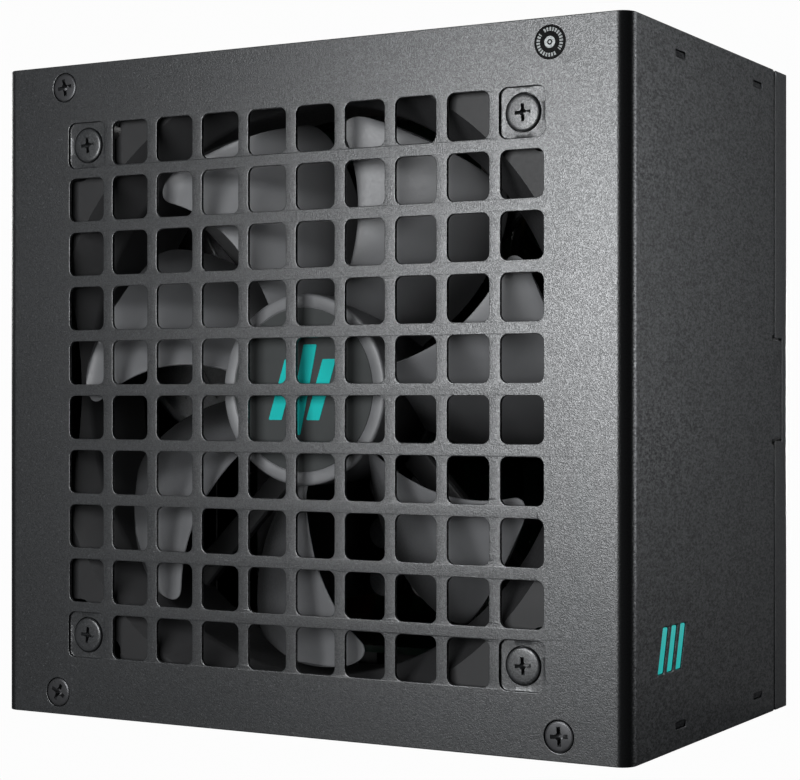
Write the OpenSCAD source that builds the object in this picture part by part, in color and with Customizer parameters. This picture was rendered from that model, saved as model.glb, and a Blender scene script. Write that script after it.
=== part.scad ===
// Modular ATX computer power supply with one 120 mm intake fan.
// It stands on its cable end: X is the width, Y runs from the fan grille (-)
// to the base plate (+), Z runs from the cable end (0) up to the mains end.
// The origin is the middle of the cable end. Front means the grille side.

/* [Case] */
// Width of the case across the two sides
case_w = 150; // [150:1:160]
// Depth of the case from the fan grille to the base plate
case_d = 86; // [86:1:90]
// Height of the case from the cable end to the mains end
case_h = 140; // [140:1:160]
// Thickness of the steel sheet
sheet = 0.8; // [0.7:0.1:0.9]
// Outside radius of the two folded edges of the cover
fold_r = 3; // [2.5:0.1:3.2]

/* [Fan grille] */
// Number of grille openings along each edge
grille_n = 10; // [10:1:10]
// Width of one square grille opening
grille_hole = 9.2; // [8:0.1:9.6]
// Corner radius of one grille opening
grille_r = 1.5; // [0.8:0.1:2]
// Width of the pressed square pocket around each fan screw
pocket_w = 9.75; // [9:0.05:10]
// Depth of the pressed square pocket
pocket_depth = 0.76; // [0.4:0.02:1]
// Depth of the round seat of the screw head below the face
seat_depth = 1.5; // [1.3:0.1:1.6]

/* [Fan] */
// Number of fan blades
blade_n = 7; // [5:1:9]
// Radius at the blade tips
blade_tip_r = 56.6; // [54:0.1:57]
// Radius of the fan hub
hub_r = 19.6; // [19.2:0.1:21]
// Angle from root leading edge to tip leading edge
blade_sweep = 18; // [0:1:24]

/* [Lances] */
// Length of each lanced retaining tab
lance_len = 5; // [4:0.1:6]
// Height of each lanced retaining tab
lance_h = 1.4; // [1.2:0.1:1.6]
// How far the free edge of a lanced tab is pushed in
lance_in = 0.6; // [0.5:0.05:1.1]

/* [Mains switch] */
// Travel of the rocker from off to on, in degrees
rocker_travel = 24; // [16:1:26]

/* [Hidden] */

// Case faces
half_w = case_w/2;
front_y = -case_d/2;
back_y = case_d/2;
side_in = half_w-sheet;        // inner face of the cover's side
plate_y = back_y-sheet;        // inner face of the base plate
roof_z = case_h-sheet;         // inner face of the mains end
sides = [-1, 1];

// Fan, measured along Y from the grille
fan_z = case_h/2;
fan_pitch = 105;               // screw square of a 120 mm fan
fan_holes = [for (sx=sides, sz=sides) [sx*fan_pitch/2, fan_z+sz*fan_pitch/2]];
fan_size = 120;
frame_d = 25;
frame_y0 = front_y+seat_depth+sheet;
frame_y1 = frame_y0+frame_d;
hub_y = front_y+4.2;           // front of the hub

// Main board on its standoffs; posts are [x, z]
standoff_h = 5;
board_t = 1.6;
board_y1 = plate_y-standoff_h;
board_y = board_y1-board_t;    // front face, which carries the parts
posts = [[-62,26], [62,26], [-62,124], [57,116], [36.5,76]];

// Colours used by several pieces
black_steel = [0.16,0.16,0.165];
black_plastic = [0.07,0.07,0.07];
black = [0.1,0.1,0.1];
accent = [0.11,0.73,0.71];
board_green = [0.09,0.28,0.14];
copper = [0.75,0.42,0.2];
tinned = [0.8,0.8,0.78];
brass_pin = [0.8,0.78,0.7];
aluminium = [0.7,0.71,0.72];
ferrite = [0.22,0.22,0.23];
coil_tape = [0.85,0.7,0.25];
ivory = [0.85,0.85,0.8];

// ---- helpers -------------------------------------------------------------
function arc(cx, cy, r, a0, a1, n) =
  [for (i=[0:n]) let (a=a0+(a1-a0)*i/n) [cx+r*cos(a), cy+r*sin(a)]];
function round_rect(w, h, r, n=4) = concat(
  arc(w/2-r, h/2-r, r, 0, 90, n), arc(-w/2+r, h/2-r, r, 90, 180, n),
  arc(-w/2+r, -h/2+r, r, 180, 270, n), arc(w/2-r, -h/2+r, r, 270, 360, n));
// a four-sided face as two triangles
function split_quad(a, b, c, d) = [[a,b,c], [a,c,d]];

// box given by its low and high corners
module box(low, high) { translate(low) cube(high-low); }
// a box on each side of the case; low and high are [y, z]
module side_boxes(x_in, x_out, low, high) {
  for (side=sides)
    box([side>0 ? x_in : -x_out, low[0], low[1]], [side>0 ? x_out : -x_in, high[0], high[1]]);
}
// upright bar of w by d centred on x, y
module bar_z(x, y, w, d, z0, z1) { box([x-w/2, y-d/2, z0], [x+w/2, y+d/2, z1]); }
module cyl_y(x, z, r, y0, y1, r2=undef, fn=48) {
  translate([x,y0,z]) rotate([-90,0,0])
    cylinder(r1=r, r2=is_undef(r2) ? r : r2, h=y1-y0, $fn=fn);
}
module cyl_z(x, y, r, z0, z1, fn=32) { translate([x,y,z0]) cylinder(r=r, h=z1-z0, $fn=fn); }
// children drawn along Z, laid along the fan axis from y
module on_fan_axis(y) { translate([0,0,fan_z]) rotate([-90,0,0]) translate([0,0,y]) children(); }
// ring about the fan axis
module fan_ring(r0, r1, y0, y1, fn=96) {
  on_fan_axis(y0) rotate_extrude($fn=fn) translate([r0,0]) square([r1-r0, y1-y0]);
}
// plates drawn from 2D children; plate_yz takes 2D x as Y and 2D y as Z
module plate_xy(z0, z1) { translate([0,0,z0]) linear_extrude(height=z1-z0) children(); }
module plate_xz(y0, y1) {
  translate([0,y1,0]) rotate([90,0,0]) linear_extrude(height=y1-y0) children();
}
module plate_yz(x0, x1) {
  translate([x0,0,0]) rotate([90,0,90]) linear_extrude(height=x1-x0) children();
}
// children drawn along Z, standing forward from the main board
module on_board(x, z) { translate([x,board_y,z]) rotate([90,0,0]) children(); }

// Catmull-Rom curve through the points of path, in steps for each stretch
function curve_point(a, b, c, d, u) =
  0.5*(2*b + (c-a)*u + (2*a-5*b+4*c-d)*u*u + (3*b-a-3*c+d)*u*u*u);
function smooth_path(path, steps) = let (m=len(path)-1) concat(
  [for (i=[0:m-1]) for (k=[0:steps-1])
    curve_point(path[max(0,i-1)], path[i], path[i+1], path[min(m,i+2)], k/steps)],
  [path[m]]);
function unit(v) = v/norm(v);
// round wire swept along the smooth curve
module wire(path, r, steps=4, n=10) {
  line = smooth_path(path, steps);
  last = len(line)-1;
  points = [for (i=[0:last])
    let (along=unit(line[min(last,i+1)]-line[max(0,i-1)]),
         u=unit(cross([1,0.15,0.1], along)), v=cross(along, u))
    for (k=[0:n-1]) line[i]+r*(cos(360*k/n)*u+sin(360*k/n)*v)];
  faces = concat([[for (k=[0:n-1]) k]], [[for (k=[n-1:-1:0]) last*n+k]],
    [for (i=[0:last-1]) for (k=[0:n-1]) let (a=i*n+k, b=i*n+(k+1)%n)
      for (f=split_quad(a, a+n, b+n, b)) f]);
  polyhedron(points, faces);
}
// square turns around a ring core whose axis is Z, spread from angle a0 to a1
module toroid_turns(r_in, r_out, h, wire_r, turns, a0, a1) {
  for (i=[0:turns-1]) rotate([0,0,a0+(a1-a0)*i/(turns-1)]) difference() {
    translate([r_in-2*wire_r, -wire_r, -h/2-2*wire_r])
      cube([r_out-r_in+4*wire_r, 2*wire_r, h+4*wire_r]);
    translate([r_in-0.05, -wire_r-1, -h/2-0.05]) cube([r_out-r_in+0.1, 2*wire_r+2, h+0.1]);
  }
}
// cross recess cut along Y from the outer face of a head
module cross_cut_y(x, z, y, size, depth) {
  arm = size*0.26;
  translate([x,y,z]) {
    translate([-size/2,-0.5,-arm/2]) cube([size, depth+0.5, arm]);
    translate([-arm/2,-0.5,-size/2]) cube([arm, depth+0.5, size]);
  }
}
module cross_cut_z(x, y, size, arm, z0, z1) {
  bar_z(x, y, size, arm, z0, z1);
  bar_z(x, y, arm, size, z0, z1);
}

// ---- case ----------------------------------------------------------------
grille_pitch = fan_pitch/(grille_n-1);
seam_y = 33.5;                 // where the side of the cover ends
lip_y = 34.1;                  // where the side lip of the base starts
base_fold_r = 2;
// middle tab of the cover's side and the notches beside it
tab_z0 = 59.4;
tab_z1 = 80.8;
tab_y = 38;
relief = 1.3;
lance_y = [-19, 23.5];
lance_edge = 4.7;              // from either end of the case
lance_z = [lance_edge, case_h-lance_edge];
// countersunk cover screws, [x, z]
cover_screw_x = [58.5, 60.3];  // at the mains end, at the cable end
cover_screw_in = 4.75;
cover_screw_at = [for (side=sides)
  for (q=[[cover_screw_x[0], case_h-cover_screw_in], [cover_screw_x[1], cover_screw_in]])
    [side*q[0], q[1]]];
sink_r = 3.1;
sink_d = 1.6;
// slanted openings of the right side
slant_n = 3;
slant_y = -30.2;
slant_z = [15.6, 24.4];
slant_w = 2.7;
slant_lean = 2.6;
slant_pitch = 4.3;
// flanges and ends of the base
flange_x = side_in-0.1;
end_inset = 2.6;
end_y = front_y+3;
side_flange = 9;
front_flange = 10;
mount_holes = [[-69,37], [69,37], [-69,-27], [45,-37]];  // x, y on the mains end
// hexagonal vents of the mains end
vent_n = 11;
vent_at = [-58, -33];
vent_pitch = [6.3, 6.4];
vent_r = 3.1;
vent_max_y = 34;
// mains end fittings
inlet_x = 52;
inlet_y = 8;
inlet_w = 19.9;
inlet_l = 27.3;
inlet_screw_y = 20;
switch_x = 24;
switch_y = 8;
switch_w = 12.8;
switch_l = 19;
earth_x = -67;
earth_y = 6;
// sockets of the cable end: x, y, cells along x, cells along y
cell = 4.2;
sockets = [
  [-56,0,4,2], [-34,0,4,2], [-12,0,4,2], [10,0,4,2], [32,0,4,2], [54,0,3,2],
  [-42,20,10,2], [-6,20,4,2], [14,20,3,2], [34,20,3,2], [54,20,3,2]];

function is_edge(i) = i==0 || i==grille_n-1;
module grille_cell(i, j) {
  middle = (grille_n-1)/2;
  translate([(i-middle)*grille_pitch, fan_z+(j-middle)*grille_pitch])
    polygon(round_rect(grille_hole, grille_hole, grille_r));
}
// quarter-round edge between a side and the front (y_dir -1) or back (1)
module fold(side, y_dir, y, r, fn) {
  translate([side*(half_w-r), y, 0]) intersection() {
    difference() {
      cylinder(r=r, h=case_h, $fn=fn);
      translate([0,0,-1]) cylinder(r=r-sheet, h=case_h+2, $fn=fn);
    }
    translate([side>0 ? 0 : -r-1, y_dir>0 ? 0 : -r-1, -1]) cube([r+1, r+1, case_h+2]);
  }
}
// outline of slanted opening k, shrunk all round by gap
module slant(k, gap) {
  lean = slant_lean/(slant_z[1]-slant_z[0]);
  w = gap*sqrt(1+lean*lean);
  y0 = slant_y+k*slant_pitch;
  y1 = y0+slant_w;
  polygon([
    [y0+gap*lean+w, slant_z[0]+gap],
    [y1+gap*lean-w, slant_z[0]+gap],
    [y1+slant_lean-gap*lean-w, slant_z[1]-gap],
    [y0+slant_lean-gap*lean+w, slant_z[1]-gap]]);
}
// ramp of sheet pushed inwards in a slot; up is the Z direction of its free edge
module lance(side, y, z, up) {
  z0 = z-up*lance_h/2;
  z1 = z+up*lance_h*0.36;
  plate_xz(y-lance_len/2, y+lance_len/2) polygon([
    [side*half_w, z0], [side*side_in, z0],
    [side*(side_in-lance_in), z1], [side*(half_w-lance_in), z1]]);
}
module cover() color(black_steel) {
  difference() {
    union() {
      plate_xz(front_y, front_y+sheet) difference() {
        translate([-half_w+fold_r,0]) square([case_w-2*fold_r, case_h]);
        for (i=[0:grille_n-1]) for (j=[0:grille_n-1])
          if (!(is_edge(i) && is_edge(j))) grille_cell(i, j);
      }
      for (side=sides) fold(side, -1, front_y+fold_r, fold_r, 64);
      side_boxes(side_in, half_w, [front_y+fold_r,0], [seam_y,case_h]);
      // middle tabs that reach into the notches of the base
      side_boxes(side_in, half_w, [seam_y-0.1,tab_z0], [tab_y,tab_z1]);
      // backs of the pressed pockets for the fan screws
      for (p=fan_holes) translate([p[0],0,p[1]]) plate_xz(front_y+sheet/2, frame_y0)
        polygon(round_rect(pocket_w+2*sheet, pocket_w+2*sheet, grille_r+sheet));
    }
    for (p=fan_holes) {
      translate([p[0],0,p[1]]) plate_xz(front_y-1, front_y+pocket_depth)
        polygon(round_rect(pocket_w, pocket_w, grille_r+0.15));
      cyl_y(p[0], p[1], 3.75, front_y, front_y+seat_depth);
      cyl_y(p[0], p[1], 2.4, front_y, frame_y0+1);
    }
    for (p=cover_screw_at) cyl_y(p[0], p[1], sink_r, front_y, front_y+sink_d, 1.6);
    // slots of the lanced tabs
    for (y=lance_y) for (z=lance_z)
      side_boxes(side_in-1, half_w+1, [y-lance_len/2,z-lance_h/2], [y+lance_len/2,z+lance_h/2]);
    // relief notches beside the middle tabs
    for (z=[tab_z0-relief, tab_z1])
      side_boxes(side_in-1, half_w+1, [seam_y-1.2,z], [seam_y+0.5,z+relief]);
    for (k=[0:slant_n-1]) plate_yz(side_in-1, half_w+1) slant(k, 0);
  }
  for (side=sides) for (y=lance_y) for (i=[0,1]) lance(side, y, lance_z[i], i==0 ? -1 : 1);
}

module vent_field() {
  for (i=[0:vent_n-1]) for (j=[0:vent_n-1]) {
    x = vent_at[0]+i*vent_pitch[0];
    y = vent_at[1]+j*vent_pitch[1]+(i%2)*vent_pitch[1]/2;
    if (y<vent_max_y) translate([x,y]) circle(r=vent_r, $fn=6);
  }
}
// outline of the mains inlet: a rectangle with its two right corners cut
function inlet_outline(w, l, cut=4.5) =
  [[-w/2,-l/2], [w/2-cut,-l/2], [w/2,-l/2+cut], [w/2,l/2-cut], [w/2-cut,l/2], [-w/2,l/2]];
module chassis_base() color(black_steel) difference() {
  front_x = flange_x-end_inset;
  union() {
    box([-half_w+base_fold_r,plate_y,0], [half_w-base_fold_r,back_y,case_h]);
    // side lips that carry on the line of the cover's sides
    side_boxes(side_in, half_w, [lip_y,0], [back_y-base_fold_r,case_h]);
    for (side=sides) fold(side, 1, back_y-base_fold_r, base_fold_r, 48);
    // the two ends
    for (z=[[0,sheet], [roof_z,case_h]]) {
      box([-flange_x,end_y,z[0]], [flange_x,plate_y,z[1]]);
      box([-front_x,front_y+sheet,z[0]], [front_x,end_y+0.1,z[1]]);
    }
    // side flanges, inside the cover
    for (z=[[sheet,side_flange], [case_h-side_flange,roof_z]])
      side_boxes(flange_x-sheet, flange_x, [-38,z[0]], [31.5,z[1]]);
    // front flanges that take the cover screws
    for (z=[[sheet,front_flange], [case_h-front_flange,roof_z]])
      box([-front_x,front_y+sheet,z[0]], [front_x,front_y+2*sheet,z[1]]);
    for (p=cover_screw_at)
      cyl_y(p[0], p[1], 2.6, front_y+2*sheet-0.1, front_y+2*sheet+1.6);
    // drawn collars of the case mounting holes
    for (p=mount_holes) cyl_z(p[0], p[1], 2.7, case_h-2.4, case_h-sheet/2);
  }
  for (p=cover_screw_at) {
    cyl_y(p[0], p[1], sink_r, front_y, front_y+sink_d, 1.6);
    cyl_y(p[0], p[1], 1.6, front_y+1.5, front_y+5);
  }
  // notches for the middle tabs of the cover
  side_boxes(side_in-1, half_w+1, [lip_y-1,tab_z0-0.6], [tab_y+0.5,tab_z1+0.6]);
  // windows for the lanced tabs
  for (y=lance_y) for (z=lance_z)
    side_boxes(flange_x-sheet-1, flange_x+1,
      [y-lance_len/2-0.6,z-1.6], [y+lance_len/2+0.6,z+1.6]);
  for (p=mount_holes) cyl_z(p[0], p[1], 1.6, case_h-4, case_h+1);
  plate_xy(roof_z-1, case_h+1) vent_field();
  // mains inlet and its screws, switch, sockets and earth screw
  translate([inlet_x,inlet_y,0]) plate_xy(roof_z-1, case_h+1)
    polygon(inlet_outline(inlet_w+0.5, inlet_l+0.5));
  for (s=sides) cyl_z(inlet_x, inlet_y+s*inlet_screw_y, 1.75, case_h-3, case_h+1);
  bar_z(switch_x, switch_y, switch_w+0.4, switch_l+0.4, case_h-2, case_h+1);
  for (q=sockets) bar_z(q[0], q[1], q[2]*cell+1.7, q[3]*cell+1.7, -1, 2);
  cyl_z(earth_x, earth_y, 1.6, case_h-3, case_h+1);
}

module cover_screws() color(ferrite) for (p=cover_screw_at) difference() {
  union() {
    cyl_y(p[0], p[1], 3.0, front_y, front_y+1.55, 1.5);
    cyl_y(p[0], p[1], 1.5, front_y+1.5, front_y+5.5);
  }
  cross_cut_y(p[0], p[1], front_y, 3.6, 0.9);
}
module seal_sticker() color([0.06,0.06,0.06])
  cyl_y(cover_screw_x[0], case_h-cover_screw_in, 3.3, front_y-0.15, front_y);
// backing behind the right side, with bars standing in the slanted openings
module side_badge() color(accent) union() {
  box([side_in-0.5,-32,14], [side_in,-14.5,26]);
  for (k=[0:slant_n-1]) plate_yz(side_in-0.3, half_w-0.18) slant(k, 0.12);
}
module rating_label() color([0.75,0.75,0.76]) plate_yz(-half_w-0.12, -half_w)
  translate([-3,case_h/2]) polygon(round_rect(56, 104, 2));
module insulating_sheet() color(black) difference() {
  box([-71,plate_y-0.5,4], [71,plate_y-0.1,case_h-4]);
  for (p=posts) cyl_y(p[0], p[1], 4.2, back_y-3, back_y);
}

// ---- mains inlet ---------------------------------------------------------
inlet_pin_at = [[-2,-7], [-2,7], [2.2,0]];  // x, y from the inlet centre
inlet_pin_w = 4;
inlet_pin_d = 2;
inlet_pin_z = 137;             // tips of the pins
module inlet_housing() color(black_plastic) translate([inlet_x,inlet_y,0]) difference() {
  union() {
    // flange behind the sheet
    plate_xy(roof_z-2.6, roof_z) polygon(round_rect(22, 50, 4, 6));
    plate_xy(124, case_h+0.5) polygon(inlet_outline(inlet_w, inlet_l));
  }
  // cavity for the plug
  plate_xy(126, 146) polygon(inlet_outline(16.4, 24.2));
  for (s=sides) cyl_z(0, s*inlet_screw_y, 1.62, 130, 142);
  for (p=inlet_pin_at) bar_z(p[0], p[1], inlet_pin_w+0.1, inlet_pin_d+0.1, 120, 127);
}
module inlet_pins() color(brass_pin) translate([inlet_x,inlet_y,0])
  for (p=inlet_pin_at) difference() {
    bar_z(p[0], p[1], inlet_pin_w, inlet_pin_d, 118.6, inlet_pin_z);
    // chamfered tips
    for (s=sides) translate([p[0]+s*inlet_pin_w/2, p[1], inlet_pin_z])
      rotate([0,45,0]) cube([1.2,4,1.2], center=true);
  }
module inlet_screws() color([0.25,0.25,0.26]) translate([inlet_x,inlet_y,0])
  for (y=[-inlet_screw_y, inlet_screw_y]) difference() {
    union() {
      cyl_z(0, y, 1.58, 132, case_h+0.2);
      translate([0,y,case_h]) cylinder(r1=2.9, r2=2.3, h=1.2, $fn=48);
    }
    cross_cut_z(0, y, 3.4, 0.56, case_h+0.5, case_h+2.5);
  }

// ---- mains switch --------------------------------------------------------
rocker_z = case_h+0.6;         // rocker axis
lever_z = 132;                 // axis of the contact levers
pole_x = [-2.5, 2.5];
contact_y = 6.5;               // outer terminals, from the middle one
module switch_housing() color(black_plastic) translate([switch_x,switch_y,0]) difference() {
  union() {
    plate_xy(case_h, case_h+2) polygon(round_rect(15, 21, 1.2));
    bar_z(0, 0, switch_w, switch_l, 123, case_h+0.1);
    // snap tongues under the sheet
    side_boxes(6.3, 6.9, [-3,roof_z-4], [3,roof_z-0.2]);
  }
  bar_z(0, 0, 10.6, 16.8, 125, case_h+3);
  // pivot holes for the rocker pins
  translate([-6,0,rocker_z]) rotate([0,90,0]) cylinder(r=1.05, h=12, $fn=32);
  for (y=[-contact_y,0,contact_y]) for (x=pole_x) bar_z(x, y, 3.3, 0.9, 120, 126);
}
// children drawn level about the rocker axis (X), tilted to one end of the travel
module on_rocker() {
  translate([switch_x,switch_y,rocker_z]) rotate([rocker_travel/2,0,0]) children();
}
module rocker_body() {
  difference() {
    union() {
      // shallow dished face, lowest in the middle
      plate_yz(-4.9, 4.9) polygon(concat([[-7.9,-2.2], [7.9,-2.2], [7.9,2.2]],
        [for (i=[0:8]) let (u=7.2-i*1.8) [u, 2.6+0.020*u*u]], [[-7.9,2.2]]));
      // stems that carry the plungers
      for (x=pole_x) translate([x,0,0]) rotate([180,0,0]) cylinder(r=1.5, h=5.2, $fn=32);
    }
    for (x=pole_x) translate([x,0,-6]) cylinder(r=1.05, h=4.6, $fn=32);
    // marks: a ring on one half, a bar on the other
    translate([0,-4.9,2.7]) difference() {
      cylinder(r=1.9, h=3, $fn=32);
      translate([0,0,-1]) cylinder(r=1.4, h=5, $fn=32);
    }
    translate([-0.28,3.1,2.7]) cube([0.56,3.6,3]);
  }
  for (x=[-5.85,4.85]) translate([x,0,0]) rotate([0,90,0]) cylinder(r=1, h=1, $fn=32);
}
module switch_rocker() color([0.09,0.09,0.09]) on_rocker() rocker_body();
// pins with half-round lower tips
module switch_plungers() color(ivory) on_rocker() for (x=pole_x) translate([x,0,-7.2]) {
  cylinder(r=1, h=4.2, $fn=32);
  intersection() {
    sphere(r=1, $fn=32);
    translate([-2,-2,-2]) cube([4,4,2]);
  }
}
// see-saw contacts under the plungers, rocking on the middle terminals
module switch_contact_levers() color([0.72,0.45,0.2]) translate([switch_x,switch_y,lever_z])
  rotate([-rocker_travel/4,0,0]) for (x=pole_x) {
    bar_z(x, 0, 2.8, 13.2, -0.3, 0.3);
    translate([x-1.4,0,0]) rotate([0,90,0]) cylinder(r=0.45, h=2.8, $fn=24);
    for (y=[-5.6,5.6]) translate([x,y,-0.3]) rotate([180,0,0]) cylinder(r=0.9, h=0.5, $fn=24);
  }
module switch_terminals() color(tinned) translate([switch_x,switch_y,0]) for (x=pole_x) {
  for (y=[-contact_y,contact_y]) bar_z(x, y, 3.2, 0.8, 115, 130.4);
  bar_z(x, 0, 3.2, 0.8, 115, 131.5);
}

// ---- filter board and leads ----------------------------------------------
module emi_board() color([0.1,0.3,0.15]) box([39,-14,117], [67,32,118.6]);
module mains_wires() {
  color(black) wire([[26.5,1.5,112.9], [26.5,1.5,108], [36,-12,105], [36,-12,96],
    [36,10,90], [36,35.5,90]], 1.3);
  color([0.1,0.25,0.6]) wire([[21.5,14.5,112.9], [21.5,14.5,106], [21.5,28,100],
    [21.5,35.5,100]], 1.3);
  // spade terminals pushed on the switch
  color(tinned) {
    box([24.6,0.5,112.8], [28.6,3,114.9]);
    box([19.4,12.6,112.8], [23.6,16,114.9]);
  }
}
// earth lead with its ring terminal under the earth screw
lug_z = roof_z-0.8;            // lower face of the ring terminal
module ground_wire() {
  color([0.2,0.6,0.2])
    wire([[earth_x,14.5,138], [earth_x,20,136], [earth_x,27,128], [earth_x,35.2,125]], 1);
  color(tinned) {
    difference() {
      union() {
        cyl_z(earth_x, earth_y, 3.4, lug_z, roof_z);
        box([earth_x-1.3,8.5,lug_z], [earth_x+1.3,12,roof_z]);
      }
      cyl_z(earth_x, earth_y, 1.9, 134, case_h);
    }
    box([earth_x-1.5,11,136.4], [earth_x+1.5,15,roof_z]);
  }
}
module ground_screw() color([0.75,0.7,0.5]) difference() {
  union() {
    cyl_z(earth_x, earth_y, 3, lug_z-1.8, lug_z);
    cyl_z(earth_x, earth_y, 1.5, roof_z-1, case_h);
  }
  cross_cut_z(earth_x, earth_y, 3.2, 0.5, roof_z-3, roof_z-1.8);
}

// ---- fan -----------------------------------------------------------------
duct_r = 58.5;
mouth_r = 65.2;                // where the inlet cone meets the front of the frame
corner_d = 8.2;                // depth of the front corner blocks
// corner notch of the frame about the screw, leaving a round lug
notch_points = concat([[-8.5,-8.5], [7.4,-8.5]], arc(5.4, -3, 2, 0, 90, 5),
  arc(0, 0, 5.05, -12, -258, 24), arc(-3, 5.4, 2, 0, 90, 5), [[-8.5,7.4]]);
module fan_frame() color([0.24,0.24,0.245]) difference() {
  union() {
    fan_ring(duct_r, fan_size/2, frame_y0+4, frame_y1, 120);
    // front corner blocks and back corner plates
    for (q=[[frame_y0,corner_d], [frame_y1-3.5,3.5]]) plate_xz(q[0], q[0]+q[1]) difference() {
      translate([0,fan_z]) polygon(round_rect(fan_size, fan_size, 6, 5));
      translate([0,fan_z]) circle(r=duct_r+0.5, $fn=120);
    }
    // screw posts and struts
    for (a=[45:90:315]) translate([0,0,fan_z]) rotate([0,a,0]) {
      cyl_y(fan_pitch/sqrt(2), 0, 4, frame_y0+8, frame_y1);
      box([18,frame_y1-2.5,-2.6], [duct_r+1,frame_y1,2.6]);
    }
    // motor base and bearing tube
    cyl_y(0, fan_z, 19.4, frame_y1-2.4, frame_y1, fn=96);
    cyl_y(0, fan_z, 5, frame_y1-16.5, frame_y1, fn=64);
  }
  // inlet cone
  cyl_y(0, fan_z, mouth_r+0.5, frame_y0-0.5, frame_y0+mouth_r-duct_r, duct_r, 120);
  for (sx=sides) for (sz=sides) plate_xz(frame_y0-1, frame_y0+corner_d+0.1)
    polygon([for (p=notch_points) [sx*(fan_pitch/2-p[0]), fan_z+sz*(fan_pitch/2-p[1])]]);
  cyl_y(0, fan_z, 3.55, frame_y1-18, frame_y1-1.2, fn=64);
  for (p=fan_holes) cyl_y(p[0], p[1], 2.15, frame_y0-1, frame_y1+1);
  // opening for the fan cable
  box([5.2,frame_y1-4,56.4], [11.2,frame_y1+1,62]);
}

// Blade shape: span runs 0 to 1 from root to tip, chord 0 to 1 from the leading edge
blade_root_r = hub_r-0.6;
blade_rows = [0, 0.17, 0.33, 0.49, 0.63, 0.76, 0.87, 0.935, 0.975, 1];  // spans
blade_steps = 7;               // steps along the chord
// 0 up to span 0.88, then growing to 1 to round the tip
function tip_round(s) = s>0.88 ? 1-sqrt(max(0, 1-pow((s-0.88)/0.12, 2))) : 0;
function lead_angle(s) = blade_sweep*pow(s, 1.77) - 8.4*tip_round(s);
function chord_angle(s) = 36+2.5*s - 11*tip_round(s);
function blade_y(s, c) = hub_y + 0.73 + (17.5-4.5*s)*pow(c, 1.1+0.4*s);
function blade_thick(s, c) = (1.5-0.6*s)*(0.35+0.65*sin(180*pow(c, 0.7)));
// face is 0 in front and 1 behind
function blade_point(s, c, face) =
  let (a=lead_angle(s)-chord_angle(s)*c, r=blade_root_r+(blade_tip_r-blade_root_r)*s)
  [r*cos(a), blade_y(s, c)+face*blade_thick(s, c), r*sin(a)];
module blade() {
  m = len(blade_rows)-1;
  n = blade_steps;
  function id(i, j, face) = face*(m+1)*(n+1)+i*(n+1)+j;
  points = [for (face=[0,1]) for (s=blade_rows) for (j=[0:n]) blade_point(s, j/n, face)];
  faces = concat(
    // front and back
    [for (i=[0:m-1]) for (j=[0:n-1])
      for (f=split_quad(id(i,j,0), id(i+1,j,0), id(i+1,j+1,0), id(i,j+1,0))) f],
    [for (i=[0:m-1]) for (j=[0:n-1])
      for (f=split_quad(id(i,j,1), id(i,j+1,1), id(i+1,j+1,1), id(i+1,j,1))) f],
    // leading and trailing edges
    [for (i=[0:m-1]) for (f=split_quad(id(i,0,0), id(i,0,1), id(i+1,0,1), id(i+1,0,0))) f],
    [for (i=[0:m-1]) for (f=split_quad(id(i,n,0), id(i+1,n,0), id(i+1,n,1), id(i,n,1))) f],
    // root and tip
    [for (j=[0:n-1]) for (f=split_quad(id(0,j,0), id(0,j+1,0), id(0,j+1,1), id(0,j,1))) f],
    [for (j=[0:n-1]) for (f=split_quad(id(m,j,0), id(m,j,1), id(m,j+1,1), id(m,j+1,0))) f]);
  polyhedron(points, faces);
}
module fan_impeller() color([0.25,0.25,0.255]) difference() {
  union() {
    fan_ring(0.001, hub_r-0.5, hub_y, hub_y+1.6);
    on_fan_axis(hub_y) rotate_extrude($fn=96) polygon([
      [hub_r-1.6,0.3], [hub_r-0.5,0], [hub_r,0.5], [hub_r,19.3],
      [hub_r-1.35,19.3], [hub_r-1.35,1.5], [hub_r-1.6,1.5]]);
    for (k=[0:blade_n-1])
      translate([0,0,fan_z]) rotate([0,-(116+k*360/blade_n),0]) blade();
  }
  cyl_y(0, fan_z, hub_r-1.4, hub_y+1.6, hub_y+30, fn=96);
  // shallow seat of the label
  cyl_y(0, fan_z, 16.9, hub_y-1, hub_y+0.2, fn=96);
}
module hub_label() color([0.235,0.235,0.235]) cyl_y(0, fan_z, 16.75, hub_y, hub_y+0.2, fn=96);
// three slanted bars on the hub label, the middle one longest
module hub_emblem() color(accent) for (k=[-1:1]) {
  h = 9.2-abs(k)*3;
  translate([k*4.6,0,fan_z]) plate_xz(hub_y-0.12, hub_y)
    polygon([[-3.6,-h], [-0.4,-h], [3.6,h], [0.4,h]]);
}
module rotor_yoke() color([0.6,0.6,0.6]) on_fan_axis(hub_y) rotate_extrude($fn=96)
  polygon([[1.52,1.65], [18.1,1.65], [18.1,18.6], [17.2,18.6],
    [17.2,2.6], [3.4,2.6], [3.4,5.2], [1.52,5.2]]);
module rotor_magnet() color([0.2,0.18,0.17]) fan_ring(15.3, 17.15, hub_y+4.8, hub_y+17.8);
module fan_shaft() color([0.8,0.8,0.82]) difference() {
  cyl_y(0, fan_z, 1.5, hub_y+1.7, frame_y1-1.5);
  // groove of the clip
  fan_ring(1.15, 2, frame_y1-2.6, frame_y1-2, 48);
}
module bearing_sleeve() color([0.72,0.55,0.3]) fan_ring(1.54, 3.5, hub_y+5.6, frame_y1-3, 64);
module shaft_clip() color([0.75,0.75,0.75]) difference() {
  fan_ring(1.2, 2.6, frame_y1-2.55, frame_y1-2.05, 48);
  box([0.4,frame_y1-4,fan_z-0.6], [4,frame_y1,fan_z+0.6]);
}
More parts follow.
